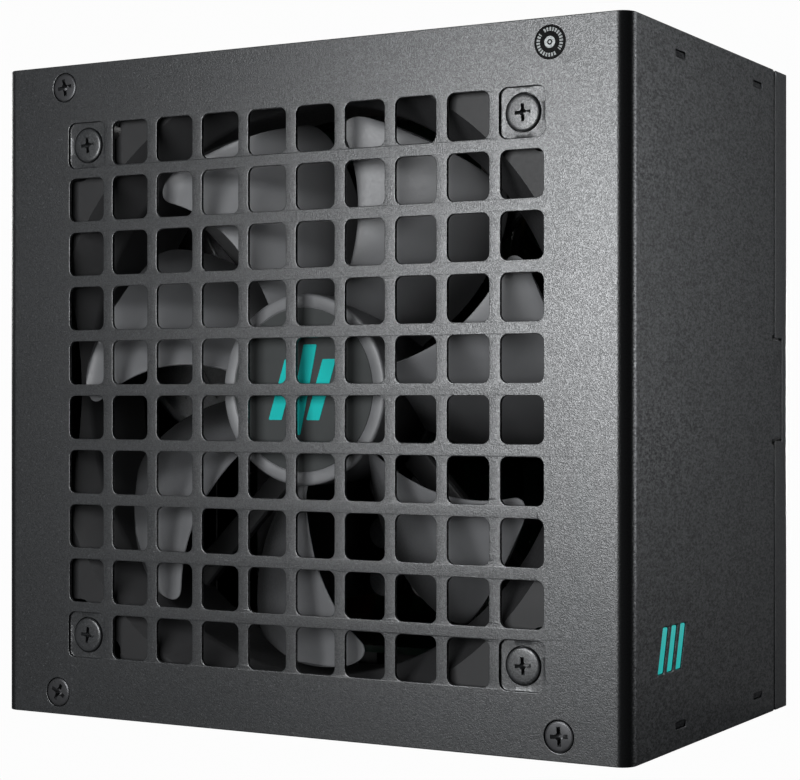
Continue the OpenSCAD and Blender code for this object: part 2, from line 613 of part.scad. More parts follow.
module stator_core() color([0.5,0.5,0.52])
  plate_xz(hub_y+8, hub_y+15.5) translate([0,fan_z]) difference() {
    union() {
      circle(r=7.4, $fn=64);
      // four arms with curved pole shoes
      for (a=[0:90:270]) rotate(a) {
        translate([0,-1.8]) square([13.6,3.6]);
        intersection() {
          difference() {
            circle(r=14.8, $fn=96);
            circle(r=13, $fn=96);
          }
          translate([5,-9]) square([15,18]);
        }
      }
    }
    circle(r=5.04, $fn=64);
  }
module stator_windings() color([0.75,0.4,0.18]) translate([0,0,fan_z])
  for (a=[0:90:270]) rotate([0,a,0]) difference() {
    box([8.2,hub_y+6.4,-3.9], [12.4,hub_y+17.1,3.9]);
    box([8,hub_y+7.95,-1.85], [13,hub_y+15.55,1.85]);
  }
module fan_motor_board() color([0.1,0.35,0.18]) fan_ring(5.05, 15, frame_y1-3.6, frame_y1-2.4);
module fan_screws() color([0.3,0.3,0.3]) for (p=fan_holes) difference() {
  translate([p[0],front_y,p[1]]) rotate([-90,0,0]) rotate_extrude($fn=48) polygon([
    [0,0.34], [1.5,0.36], [2.7,0.42], [3.2,0.5], [3.5,0.7], [3.6,1],
    [3.6,seat_depth], [2.1,seat_depth], [2.1,seat_depth+10.4],
    [1.5,seat_depth+11], [0,seat_depth+11]]);
  cross_cut_y(p[0], p[1], front_y+0.3, 3.4, 1.2);
}
module fan_cable() for (k=sides) color(k<0 ? black : [0.65,0.1,0.1])
  wire([[8+k,frame_y1-1.9,59.6], [8.3+k,frame_y1+1.4,59], [14+k,-13.2,54], [40+k,-13.2,28],
    [44+k,-7,22], [30+k,8,22], [30+k,18,24], [30+k,26.7,24]], 0.6);
module fan_connector() color(ivory) difference() {
  box([26.5,26.8,20.5], [33.5,board_y,27.5]);
  box([27.2,26,25.8], [32.8,28.5,28]);
}

// ---- main board and its parts --------------------------------------------
module main_board() color(board_green) difference() {
  box([-69,board_y,16], [69,board_y1,134]);
  side_boxes(62, 70, [board_y-1,127], [board_y1+1,135]);
  for (p=posts) cyl_y(p[0], p[1], 1.6, board_y-1, board_y1+1);
}
module board_standoffs() color([0.78,0.68,0.4]) for (p=posts) difference() {
  cyl_y(p[0], p[1], 3.2, board_y1, plate_y, fn=6);
  cyl_y(p[0], p[1], 1.55, board_y1-1, board_y1+4);
}
module board_screws() color([0.75,0.75,0.76]) for (p=posts) difference() {
  union() {
    cyl_y(p[0], p[1], 2.8, board_y-1.8, board_y);
    cyl_y(p[0], p[1], 1.5, board_y-0.1, board_y1+3.5);
  }
  cross_cut_y(p[0], p[1], board_y-1.8, 3, 0.9);
}
bulk_x = -48;
module bulk_capacitors() color([0.09,0.09,0.11]) for (z=[76,108]) difference() {
  on_board(bulk_x, z) rotate_extrude($fn=72) polygon(concat(
    [[0,0], [14.4,0], [15,0.7], [15,3], [14.4,3.7], [15,4.4]],
    arc(14, 43, 1, 0, 90, 4), [[13,43.6], [0,43.6]]));
  // star of grooves in the front face
  for (a=[0:60:120]) translate([bulk_x,board_y-44.5,z]) rotate([0,a,0])
    translate([-9,0,-0.25]) cube([18,1.1,0.5]);
}
sink_x = -27.4;                // right face of the primary heatsink wall
module primary_heatsink() color(aluminium) {
  box([sink_x-3,-8,62], [sink_x,board_y-0.2,124]);
  box([-27.6,-8,62], [-17,-5.5,124]);
  for (x=[-24.5,-21,-17.8]) box([x,-5.6,62], [x+1.2,2,124]);
}
module primary_transistors() color([0.12,0.12,0.12]) for (z=[68,82,96]) {
  box([sink_x,16,z-5], [-22.9,25,z+5]);
  box([sink_x,10,z-5], [-26.1,16.1,z+5]);
  for (k=[-1:1]) box([-25.6,24.9,z+k*2.54-0.4], [-25.1,board_y,z+k*2.54+0.4]);
}
module bridge_rectifier() color(black) {
  box([sink_x,8,105], [-23.4,26,122]);
  for (k=[0:3]) box([-26,25.9,106.5+k*4.2], [-25.3,board_y,107.5+k*4.2]);
}
// ring chokes
pfc_at = [-3,19.5,112];
pfc_r = [8.5,14.5];
pfc_h = 11;
module ring_core(r, h, fn) difference() {
  cylinder(r=r[1], h=h, center=true, $fn=fn);
  cylinder(r=r[0], h=h+2, center=true, $fn=fn);
}
module pfc_choke_core() color([0.2,0.45,0.3]) translate(pfc_at) ring_core(pfc_r, pfc_h, 72);
module pfc_choke_winding() color(copper) translate(pfc_at)
  toroid_turns(pfc_r[0], pfc_r[1], pfc_h, wire_r=0.7, turns=26, a0=-60, a1=240);
choke_at = [[52,24.5,98], [52,24.5,72]];
choke_r = [5.5,10];
choke_h = 8;
module choke_cores() color([0.1,0.35,0.2]) for (p=choke_at)
  translate(p) rotate([90,0,0]) ring_core(choke_r, choke_h, 64);
module choke_windings() color(copper) for (p=choke_at)
  translate(p) rotate([90,0,0]) for (a=[0,180]) rotate([0,0,a])
    toroid_turns(choke_r[0], choke_r[1], choke_h, wire_r=0.6, turns=10, a0=-65, a1=65);
module film_capacitors() color([0.85,0.75,0.2]) {
  box([41,-13,104], [65,-3,116.9]);
  box([15,18,79], [32,board_y,91]);
  box([18,20,60], [40,board_y,69]);
}
// narrow glass between two end caps, on two legs
module fuse() color(brass_pin) {
  translate([62,30,33]) difference() {
    cylinder(r=2.6, h=20, $fn=40);
    translate([0,0,4]) difference() {
      cylinder(r=3, h=12, $fn=40);
      translate([0,0,-1]) cylinder(r=2.35, h=14, $fn=40);
    }
  }
  for (z=[35,51]) box([61.6,32.2,z-0.4], [62.4,board_y,z+0.4]);
}
transformer_at = [-4,0,76];
module transformer_core() color(ferrite) translate(transformer_at) {
  difference() {
    box([-17,4,-15], [17,33,15]);
    box([-18,9,-9.5], [18,28,9.5]);
  }
  // middle and outer legs
  for (x=[[-6,6], [-17,-14.6], [14.6,17]]) box([x[0],8.9,-9.6], [x[1],28.1,9.6]);
}
module transformer_winding() {
  color(coil_tape) translate(transformer_at) difference() {
    box([-14.4,9.2,-9.3], [14.4,27.8,9.3]);
    box([-6.2,8,-10], [6.2,29,10]);
  }
  color(black) translate(transformer_at) for (s=sides) for (k=[0:3])
    box([-10+k*6,33.05,s*11-0.5], [-9+k*6,board_y,s*11+0.5]);
}
module standby_transformer() translate([2.4,0,0]) {
  color(ferrite) {
    difference() {
      box([18,20,40], [34,board_y-1.5,54]);
      box([17,23,43], [35,31,51]);
    }
    box([23,22.8,42.8], [29,31.2,51.2]);
  }
  color(coil_tape) difference() {
    box([19,23.1,43.1], [33,30.9,50.9]);
    box([22.8,22,42], [29.2,32,52]);
  }
  color([0.8,0.8,0.8]) for (x=[20,31]) for (z=[41,52])
    box([x,board_y-1.5,z], [x+0.8,board_y,z+0.8]);
}
module secondary_heatsink() color(aluminium) {
  box([-24,-6,22], [-21.4,board_y-0.2,56]);
  box([-34,-6,22], [-23.9,-3.6,56]);
  for (x=[-34,-31,-28]) box([x,-3.7,22], [x+1.1,4,56]);
}
module output_capacitors() color([0.15,0.15,0.3]) for (x=[-15,-4]) for (z=[26,37,48])
  on_board(x, z) rotate_extrude($fn=40) polygon([[0,0], [3.8,0], [4.2,0.5], [4.2,1.6],
    [3.9,2], [4.2,2.4], [4.2,17.4], [3.7,18], [0,18]]);
module dc_dc_boards() for (x=[5,13]) {
  color(board_green) box([x,6,24], [x+1.2,board_y,54]);
  color([0.3,0.3,0.32]) for (z=[27,41]) box([x+1.2,12,z], [x+5.6,22,z+10]);
}
module controller_board() {
  color(board_green) box([44,12,24], [45.2,board_y,52]);
  color(black) box([45.2,18,32], [46.8,26,44]);
}

// ---- modular sockets -----------------------------------------------------
modular_z = [13, 14.6];        // lower and upper face of the socket board
// cell centres of socket q, from the socket centre
function socket_cells(q) = [for (i=[0:q[2]-1]) for (j=[0:q[3]-1])
  [-q[2]*cell/2+cell*(i+0.5), -q[3]*cell/2+cell*(j+0.5)]];
module modular_board() color(board_green) box([-68,-9,modular_z[0]], [68,34.5,modular_z[1]]);
module modular_sockets() color([0.06,0.06,0.06]) for (q=sockets) translate([q[0],q[1],0]) {
  w = q[2]*cell;
  h = q[3]*cell;
  difference() {
    union() {
      bar_z(0, 0, w+1.2, h+1.2, 0.3, modular_z[0]);
      bar_z(0, 0, w+2.8, h+2.4, 1.1, 2.6);
    }
    for (p=socket_cells(q)) {
      bar_z(p[0], p[1], 3.6, 3.6, -1, 11.4);
      bar_z(p[0], p[1], 1.3, 1.3, 11, 14);
    }
  }
}
module socket_pins() color([0.85,0.8,0.6]) for (q=sockets) translate([q[0],q[1],0])
  for (p=socket_cells(q)) bar_z(p[0], p[1], 1.1, 1.1, 3, modular_z[0]);
// angle bars from the socket board to the main board
bar_t = 1.2;
module busbars() color(copper) for (x=[-58,-38,38]) plate_yz(x, x+10) polygon([
  [25,modular_z[1]], [board_y,modular_z[1]], [board_y,24],
  [board_y-bar_t,24], [board_y-bar_t,modular_z[1]+bar_t], [25,modular_z[1]+bar_t]]);

cover();
chassis_base();
cover_screws();
seal_sticker();
side_badge();
rating_label();
insulating_sheet();
inlet_housing();
inlet_pins();
inlet_screws();
switch_housing();
switch_rocker();
switch_plungers();
switch_terminals();
switch_contact_levers();
emi_board();
mains_wires();
ground_wire();
ground_screw();
fan_frame();
fan_impeller();
hub_label();
hub_emblem();
rotor_yoke();
rotor_magnet();
fan_shaft();
bearing_sleeve();
shaft_clip();
stator_core();
stator_windings();
fan_motor_board();
fan_screws();
fan_cable();
fan_connector();
main_board();
board_standoffs();
board_screws();
bulk_capacitors();
primary_heatsink();
primary_transistors();
bridge_rectifier();
pfc_choke_core();
pfc_choke_winding();
choke_cores();
choke_windings();
film_capacitors();
fuse();
transformer_core();
transformer_winding();
standby_transformer();
secondary_heatsink();
output_capacitors();
dc_dc_boards();
controller_board();
modular_board();
modular_sockets();
socket_pins();
busbars();
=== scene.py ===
# Modular power supply: a folded steel case standing on its socket end.
# X is the width, centred on 0. Y is the depth: the fan grille faces -Y and the base plate is
# at +Y. Z runs from the modular socket end (0) up to the mains inlet end.
# The teal badge is on the +X side and the rating label on the -X side.
# Meshes are drawn in millimetres and scaled to metres; materials and lights are in metres.
import random
from math import atan2, cos, exp, pi, radians, sin, sqrt, tan

import bmesh
import bpy
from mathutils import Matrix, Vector


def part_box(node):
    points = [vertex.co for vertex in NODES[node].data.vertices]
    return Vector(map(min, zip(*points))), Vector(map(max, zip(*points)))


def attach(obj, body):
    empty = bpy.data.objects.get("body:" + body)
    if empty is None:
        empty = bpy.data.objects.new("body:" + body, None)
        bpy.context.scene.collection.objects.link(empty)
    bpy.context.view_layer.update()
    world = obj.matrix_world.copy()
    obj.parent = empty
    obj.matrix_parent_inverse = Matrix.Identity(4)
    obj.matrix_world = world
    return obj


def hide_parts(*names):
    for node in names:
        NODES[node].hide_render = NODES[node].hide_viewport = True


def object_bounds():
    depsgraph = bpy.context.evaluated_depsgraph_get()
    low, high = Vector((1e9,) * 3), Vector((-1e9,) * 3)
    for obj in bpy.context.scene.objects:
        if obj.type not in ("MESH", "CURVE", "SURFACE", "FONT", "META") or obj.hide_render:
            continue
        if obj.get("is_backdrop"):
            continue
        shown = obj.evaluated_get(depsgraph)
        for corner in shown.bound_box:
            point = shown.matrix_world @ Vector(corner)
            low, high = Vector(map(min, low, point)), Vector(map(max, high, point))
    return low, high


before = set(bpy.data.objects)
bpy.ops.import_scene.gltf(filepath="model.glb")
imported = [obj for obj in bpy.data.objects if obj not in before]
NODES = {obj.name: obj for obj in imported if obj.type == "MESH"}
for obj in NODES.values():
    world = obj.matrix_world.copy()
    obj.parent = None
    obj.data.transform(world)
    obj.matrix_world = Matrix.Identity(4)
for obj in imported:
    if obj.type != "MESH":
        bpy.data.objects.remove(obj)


def plain(value):
    """Bounds as plain lists of numbers."""
    if hasattr(value, "items"):
        return {key: plain(part) for key, part in value.items()}
    try:
        return [plain(part) for part in value]
    except TypeError:  # a single number can't be iterated
        return float(value)


CAD_BOX = plain(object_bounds())
MM = 0.001
COLLECTION = bpy.context.scene.collection
random.seed(7)

# ---------------------------------------------------------------------------
# driving sizes, millimetres; the outer ones are read from the CAD nodes
# ---------------------------------------------------------------------------
def node_box(node):
    low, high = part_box(node)
    return [v * 1000 for v in low], [v * 1000 for v in high]


cover_low, cover_high = node_box("cover")
fan_low, fan_high = node_box("fan_frame")
HALF_W = cover_high[0]
FRONT_Y = cover_low[1]                    # outer face of the grille
BACK_Y = node_box("chassis_base")[1][1]   # outer face of the base plate
HEIGHT = cover_high[2]
MID_Z = HEIGHT / 2
SHEET = 0.8                               # sheet thickness
FAN_FRONT, FAN_BACK = fan_low[1], fan_high[1]
HUB_Y = node_box("hub_label")[1][1] - 0.2  # front of the fan hub

FAN_SCREW_PITCH = 105.0
FAN_SCREW = FAN_SCREW_PITCH / 2           # from the fan axis, in x and in z
CORNERS = [(sx, sz) for sx in (-1, 1) for sz in (-1, 1)]

SEAM_Y, LIP_Y = 33.5, 34.1                # rear edge of the cover side, front edge of the base lip
TAB_BOTTOM, TAB_TOP, TAB_Y = 59.4, 80.8, cover_high[1]  # tab on each cover side
LANCE_Y, LANCE_Z = (-19.0, 23.5), 4.7     # lanced tabs; LANCE_Z is measured from either end

CSK_X_TOP, CSK_X_BOTTOM, CSK_INSET = 58.5, 60.3, 4.75
CSK_Z_TOP = HEIGHT - CSK_INSET
CSK_SPOTS = [(sx * x, z) for x, z in ((CSK_X_TOP, CSK_Z_TOP), (CSK_X_BOTTOM, CSK_INSET))
             for sx in (-1, 1)]

# Slanted slits in the +X side: y, z, then the inward direction up and across at each corner
SLIT_CORNERS = [(-30.2, 15.6, 1, 1), (-27.5, 15.6, 1, -1), (-24.9, 24.4, -1, -1),
                (-27.6, 24.4, -1, 1)]
SLIT_PITCH = 4.3
SLIT_LEAN = 2.6 / 8.8                     # y per z along a slit

INLET_X, INLET_Y = 52.0, 8.0
SWITCH_X, SWITCH_Y = 24.0, 8.0

# ---------------------------------------------------------------------------
# node materials
# ---------------------------------------------------------------------------
INPUTS = {"color": "Base Color", "rough": "Roughness", "metal": "Metallic", "normal": "Normal",
          "spec": "Specular IOR Level", "coat": "Coat Weight", "coat_rough": "Coat Roughness",
          "emit": "Emission Color", "emit_s": "Emission Strength"}


def rgba(value):
    """A grey level or an RGB colour as RGBA."""
    if isinstance(value, (int, float)):
        return (value, value, value, 1)
    return (*value, 1)


def shade(color, factor, lift=0.0):
    return tuple(min(1, c * factor + lift) for c in color)


class Mat:
    """Small helper round a node tree; every material here is procedural."""

    def __init__(self, name):
        self.material = bpy.data.materials.new(name)
        self.material.use_nodes = True
        self.tree = self.material.node_tree
        self.shader = self.tree.nodes["Principled BSDF"]
        self.coords = self.node("ShaderNodeTexCoord").outputs["Object"]

    def feed(self, socket, value):
        """Give a socket a link, a colour or a plain value."""
        if isinstance(value, bpy.types.NodeSocket):
            self.tree.links.new(value, socket)
        elif isinstance(value, tuple) and socket.type == "RGBA":
            socket.default_value = rgba(value)
        else:
            socket.default_value = value

    def node(self, kind, inputs=None, **props):
        made = self.tree.nodes.new(kind)
        for key, value in props.items():
            setattr(made, key, value)
        for key, value in (inputs or {}).items():
            if value is not None:
                self.feed(made.inputs[key], value)
        return made

    def mapping(self, scale=(1, 1, 1), rot=(0, 0, 0)):
        inputs = {"Scale": scale, "Rotation": rot, "Vector": self.coords}
        return self.node("ShaderNodeMapping", inputs).outputs[0]

    def noise(self, scale, detail=2.0, rough=0.5, src=None, dist=0.0):
        inputs = {"Scale": scale, "Detail": detail, "Roughness": rough, "Distortion": dist,
                  "Vector": src or self.coords}
        return self.node("ShaderNodeTexNoise", inputs).outputs["Fac"]

    def voronoi(self, scale):
        inputs = {"Scale": scale, "Vector": self.coords}
        return self.node("ShaderNodeTexVoronoi", inputs).outputs["Distance"]

    def ramp(self, fac, stops):
        """Colour ramp from (position, grey or RGB) stops."""
        made = self.node("ShaderNodeValToRGB", {"Fac": fac})
        elements = made.color_ramp.elements
        elements.remove(elements[-1])
        for i, (position, value) in enumerate(stops):
            stop = elements.new(position) if i else elements[0]
            stop.position = position
            stop.color = rgba(value)
        return made.outputs["Color"]

    def vary(self, fac, low, high):
        """Spread the middle range of a noise between two values."""
        return self.ramp(fac, [(0.3, low), (0.7, high)])

    def math(self, op, a, b=None):
        return self.node("ShaderNodeMath", {0: a, 1: b}, operation=op).outputs[0]

    def add(self, a, b):
        return self.math("ADD", a, b)

    def sub(self, a, b):
        return self.math("SUBTRACT", a, b)

    def mul(self, a, b):
        return self.math("MULTIPLY", a, b)

    def above(self, a, b):
        return self.math("GREATER_THAN", a, b)

    def below(self, a, b):
        return self.math("LESS_THAN", a, b)

    def either(self, a, b):
        return self.math("MAXIMUM", a, b)

    def size(self, a):
        return self.math("ABSOLUTE", a)

    def fract(self, a):
        return self.math("FRACT", a)

    def between(self, a, low, high):
        return self.mul(self.above(a, low), self.below(a, high))

    def hypot(self, a_squared, b_squared):
        return self.math("SQRT", self.add(a_squared, b_squared))

    def split(self, vector=None):
        """x, y and z of a vector, by default the object coordinates."""
        return self.node("ShaderNodeSeparateXYZ", {0: vector or self.coords}).outputs

    def true_normal(self):
        return self.split(self.node("ShaderNodeNewGeometry").outputs["True Normal"])

    def mix(self, fac, a, b, mode="MIX"):
        return self.node("ShaderNodeMix", {0: fac, 6: a, 7: b}, data_type="RGBA",
                         blend_type=mode).outputs[2]

    def bump(self, height, strength, dist, normal=None):
        inputs = {"Strength": strength, "Distance": dist, "Height": height, "Normal": normal}
        return self.node("ShaderNodeBump", inputs).outputs[0]

    def edge_round(self, radius):
        return self.node("ShaderNodeBevel", {"Radius": radius}, samples=6).outputs[0]

    def set(self, **values):
        for key, value in values.items():
            self.feed(self.shader.inputs[INPUTS[key]], value)
        return self


def powder_coat(name, base=0.020, grain=1.0, folded=False):
    """Fine-textured black powder coat: tight pebbled grain, mottled specks, faint dust."""
    m = Mat(name)
    fine = m.noise(scale=4300, detail=1.5, rough=0.6)    # pebbles about 0.25 mm across
    clusters = m.noise(scale=2500, detail=1.0)
    cells = m.voronoi(scale=3300)
    # weights: two thirds pebbles, one third clusters
    pebbles = m.ramp(m.add(m.mul(fine, 0.66), m.mul(clusters, 0.34)), [(0.38, 0.0), (0.62, 1.0)])
    relief = m.add(pebbles, m.mul(cells, 0.45))
    normal = m.bump(relief, strength=0.34 * grain, dist=0.00004)

    def tone(level):
        """Slightly cool black at a given level of the base tone."""
        return (base * level * 0.965, base * level, base * level * 1.045)

    color = m.ramp(pebbles, [(0.0, tone(0.66)), (0.5, tone(1.0)), (1.0, tone(1.5))])
    cloud = m.noise(scale=38, detail=3.0, rough=0.6)
    color = m.mix(1.0, color, m.vary(cloud, 0.90, 1.08), mode="MULTIPLY")
    dust = m.noise(scale=2100, detail=0.0)
    color = m.mix(m.ramp(dust, [(0.74, 0.0), (0.80, 0.10)]), color, (0.30, 0.31, 0.32))
    # mostly the pebbles, a little of the clouding
    rough = m.ramp(m.add(m.mul(pebbles, 0.75), m.mul(cloud, 0.25)), [(0.1, 0.38), (0.9, 0.30)])
    spec = m.add(0.40, m.mul(pebbles, 0.34))             # base level, extra on pebble tops
    # folded adds longer specks on the side walls and painted shade over the front bends
    if folded:
        color, spec = side_specks_and_fold_shade(m, color, spec, tone(0.35))
    return m.set(color=color, rough=rough, spec=spec, normal=normal)


def side_specks_and_fold_shade(m, color, spec, fold_shade_tone):
    """Longer specks on the side walls, and painted shade over the front bends: a darker tone and
    most of the gloss taken away.
    """
    wall = m.above(m.size(m.true_normal()[0]), 0.9)
    specks = m.noise(scale=1.0, detail=1.5, rough=0.6, src=m.mapping(scale=(2300, 1000, 2300)))
    gain = m.mix(wall, (1, 1, 1), m.ramp(specks, [(0.36, 0.55), (0.64, 1.50)]))
    color = m.mix(1.0, color, gain, mode="MULTIPLY")
    spec = m.mul(spec, gain)
    x, y, _ = m.split()
    # ramp positions are metres times ten: from x 72.2 to 72.8 mm, from y 40.8 to 41.55 mm
    near_side = m.ramp(m.mul(m.size(x), 10.0), [(0.7220, 0.0), (0.7280, 1.0)])
    near_face = m.ramp(m.mul(m.size(y), 10.0), [(0.4080, 0.0), (0.4155, 1.0)])
    # painted shade over the front bends: a darker tone and 82 % less gloss, so that no highlight
    # runs round them
    fold = m.mul(m.mul(near_side, near_face), m.below(y, 0.0))
    color = m.mix(fold, color, fold_shade_tone)
    return color, m.mul(spec, m.sub(1.0, m.mul(fold, 0.82)))  # the fold loses 82 % of its gloss


def moulded(name, color, rough, grain, scale, spec=0.5, edge=0):
    """Moulded plastic: spark-eroded micro texture, faint flow variation, rounded edges."""
    m = Mat(name)
    texture = m.noise(scale=scale, detail=3.0, rough=0.6)
    flow = m.noise(scale=60, dist=0.8)
    normal = m.bump(texture, strength=grain, dist=0.00004,
                    normal=m.edge_round(edge) if edge else None)
    tone = m.vary(flow, shade(color, 0.86), shade(color, 1.12))
    tone = m.mix(m.mul(texture, 0.12), tone, shade(color, 1.6, lift=0.01))
    rough = m.vary(texture, max(0.05, rough - 0.06), min(1, rough + 0.08))
    return m.set(color=tone, rough=rough, spec=spec, normal=normal)


def metal(name, color, rough, grain, brush=None, edge=0.0001, tint=None, metallic=1.0):
    """Metal with directional brushing or fine casting grain, tarnish and rounded edges."""
    m = Mat(name)
    if brush:
        texture = m.noise(scale=1.0, detail=3.0, rough=0.65, src=m.mapping(scale=brush))
    else:
        texture = m.noise(scale=1500, detail=3.0, rough=0.6)
    tarnish = m.noise(scale=90, detail=3.0, rough=0.6)
    normal = m.bump(texture, strength=grain, dist=0.00003,
                    normal=m.edge_round(edge) if edge else None)
    tone = m.mix(m.ramp(tarnish, [(0.35, 0.0), (0.75, 0.55)]), color, tint or shade(color, 0.72))
    # grain and tarnish both roughen the surface
    rough = m.add(m.mul(texture, 0.16), m.add(rough - 0.1, m.mul(tarnish, 0.08)))
    return m.set(color=tone, rough=rough, metal=metallic, normal=normal)


def circuit(name, color):
    """Solder mask over copper: traces as a faint relief, tinned pads, glossy coat."""
    m = Mat(name)
    brick = m.node("ShaderNodeTexBrick", {
        "Scale": 190, "Mortar Size": 0.12, "Brick Width": 0.9, "Row Height": 0.22,
        "Vector": m.mapping(rot=(radians(90), 0, 0))})
    patches = m.ramp(m.noise(scale=160), [(0.45, 0.0), (0.5, 1.0)])
    traces = m.mul(brick.outputs["Fac"], patches)
    pads = m.ramp(m.voronoi(scale=300), [(0.10, 1.0), (0.14, 0.0)])
    tone = m.mix(traces, color, shade(color, 1.9))
    tone = m.mix(pads, tone, (0.55, 0.55, 0.53))
    normal = m.bump(m.add(traces, pads), strength=0.35, dist=0.00005,
                    normal=m.edge_round(0.0001))
    return m.set(color=tone, rough=m.ramp(pads, [(0.0, 0.34), (1.0, 0.28)]),
                 metal=m.mul(pads, 0.9), coat=0.25, coat_rough=0.2, normal=normal)

# ---------------------------------------------------------------------------
# outlines: lists of 2D points
# ---------------------------------------------------------------------------
def steps(start, length, count):
    return [start + length * k / count for k in range(count + 1)]


def arc(cx, cy, r, start, end, count):
    return [(cx + r * cos(radians(a)), cy + r * sin(radians(a)))
            for a in steps(start, end - start, count)]


def rounded_rect(cx, cy, width, height, r, count):
    dx, dy = width / 2 - r, height / 2 - r
    return (arc(cx + dx, cy + dy, r, 0, 90, count) + arc(cx - dx, cy + dy, r, 90, 180, count) +
            arc(cx - dx, cy - dy, r, 180, 270, count) + arc(cx + dx, cy - dy, r, 270, 360, count))


def circle(cx, cy, r, count):
    return [(cx + r * cos(2 * pi * i / count), cy + r * sin(2 * pi * i / count))
            for i in range(count)]


def round_poly(points, radii, count=3):
    """Polygon with a fillet at each corner; radii is one number or one per corner."""
    out = []
    total = len(points)
    for i in range(total):
        corner = Vector(points[i])
        before = Vector(points[i - 1]) - corner
        after = Vector(points[(i + 1) % total]) - corner
        radius = radii[i] if hasattr(radii, "__len__") else radii
        angle = before.angle(after)
        cut = min(radius / tan(angle / 2), before.length * 0.49, after.length * 0.49)
        fitted = cut * tan(angle / 2)
        bisector = (before.normalized() + after.normalized()).normalized()
        centre = corner + bisector * (fitted / sin(angle / 2))
        first = corner + before.normalized() * cut - centre
        last = corner + after.normalized() * cut - centre
        a0 = atan2(first.y, first.x)
        turn = (atan2(last.y, last.x) - a0 + pi) % (2 * pi) - pi
        out += [(centre.x + fitted * cos(a0 + turn * k / count),
                 centre.y + fitted * sin(a0 + turn * k / count)) for k in range(count + 1)]
    return out


def mirrored_outline(half):
    """Closed outline from the +X half, given as (x, y, fillet) from bottom to top."""
    full = half + [(-x, y, r) for x, y, r in reversed(half)]
    return round_poly([(x, y) for x, y, _ in full], [r for _, _, r in full])


def slit_outline(index, inset=0.0):
    """(y, z) outline of one slanted slit, drawn in by inset on every edge."""
    across = inset * sqrt(1 + SLIT_LEAN * SLIT_LEAN)
    return [(y + index * SLIT_PITCH + up * inset * SLIT_LEAN + side * across, z + up * inset)
            for y, z, up, side in SLIT_CORNERS]

# ---------------------------------------------------------------------------
# mesh helpers
# ---------------------------------------------------------------------------
def add_mesh(name, bm, mat, body, replaced, smooth=30, weighted=False):
    """Finish a bmesh given in millimetres and put it on its CAD body."""
    bmesh.ops.recalc_face_normals(bm, faces=bm.faces)
    for v in bm.verts:
        v.co *= MM
    mesh = bpy.data.meshes.new(name)
    bm.to_mesh(mesh)
    bm.free()
    mesh.materials.append(mat.material)
    mesh.polygons.foreach_set("use_smooth", [True] * len(mesh.polygons))
    mesh.set_sharp_from_angle(angle=radians(smooth))
    ob = bpy.data.objects.new(name, mesh)
    COLLECTION.objects.link(ob)
    if weighted:
        mod = ob.modifiers.new("wn", "WEIGHTED_NORMAL")
        mod.keep_sharp = True
        mod.weight = 90
    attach(ob, body)
    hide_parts(replaced)


def baked(ob):
    """Evaluated mesh of an object as a bmesh."""
    evaluated = ob.evaluated_get(bpy.context.evaluated_depsgraph_get())
    bm = bmesh.new()
    bm.from_mesh(evaluated.to_mesh())
    evaluated.to_mesh_clear()
    return bm


def sheet_bm(outer, holes, edge):
    """Flat sheet with rounded edges: z runs from 0 (outer face) to the sheet thickness."""
    curve = bpy.data.curves.new("tmp", "CURVE")
    curve.dimensions = "2D"
    curve.fill_mode = "BOTH"
    curve.extrude = SHEET / 2 - edge
    curve.bevel_depth = edge
    curve.bevel_resolution = 1
    curve.offset = -edge
    for loop in [outer] + holes:
        spline = curve.splines.new("POLY")
        spline.points.add(len(loop) - 1)
        for i, (x, y) in enumerate(loop):
            spline.points[i].co = (x, y, 0, 1)
        spline.use_cyclic_u = True
    ob = bpy.data.objects.new("tmp", curve)
    COLLECTION.objects.link(ob)
    bm = baked(ob)
    bpy.data.objects.remove(ob)
    bpy.data.curves.remove(curve)
    bmesh.ops.remove_doubles(bm, verts=bm.verts, dist=1e-4)
    for v in bm.verts:
        v.co.z = v.co.z + SHEET / 2
    return bm


def cut_planes(bm, axis, values):
    """Cut edge lines across the sheet so that it can bend there."""
    for value in values:
        point, normal = [0, 0, 0], [0, 0, 0]
        point[axis] = value
        normal[axis] = 1
        bmesh.ops.bisect_plane(bm, geom=bm.verts[:] + bm.edges[:] + bm.faces[:],
                               plane_co=point, plane_no=normal, dist=1e-5)


def loft(bm, loops, caps=True):
    """Faces between successive closed loops of 3D points with equal counts."""
    rows = [[bm.verts.new(p) for p in loop] for loop in loops]
    n = len(rows[0])
    for a, b in zip(rows, rows[1:]):
        for i in range(n):
            j = (i + 1) % n
            bm.faces.new((a[i], a[j], b[j], b[i]))
    if caps:
        bm.faces.new(rows[0][::-1])
        bm.faces.new(rows[-1])


def along_z(x, y, h):
    return (x, y, h)


def along_y(x, y, h):
    """Axis along Y: h grows from the grille into the case."""
    return (x, h, y)


def lathe(bm, profile, count, centre=(0, 0, 0), axis=along_y):
    """Revolve a profile of (radius, height) points about an axis."""
    rows = []
    for r, h in profile:
        ring = [(0.0, 0.0)] if r < 1e-6 else circle(0, 0, r, count)
        rows.append([bm.verts.new(Vector(axis(x, y, h)) + Vector(centre)) for x, y in ring])
    for a, b in zip(rows, rows[1:]):
        for i in range(count):
            j = (i + 1) % count
            if len(a) == 1:
                bm.faces.new((a[0], b[j], b[i]))
            elif len(b) == 1:
                bm.faces.new((a[i], a[j], b[0]))
            else:
                bm.faces.new((a[i], a[j], b[j], b[i]))


def lathe_bm(profile, count, centre):
    bm = bmesh.new()
    lathe(bm, profile, count, centre)
    return bm


def box(bm, low, high, bevel):
    verts = bmesh.ops.create_cube(bm, size=1.0)["verts"]
    for v in verts:
        v.co = Vector([(low[i] + high[i]) / 2 + v.co[i] * (high[i] - low[i]) for i in range(3)])
    edges = list({e for v in verts for e in v.link_edges})
    bmesh.ops.bevel(bm, geom=edges, offset=bevel, segments=2, affect="EDGES", profile=0.5)


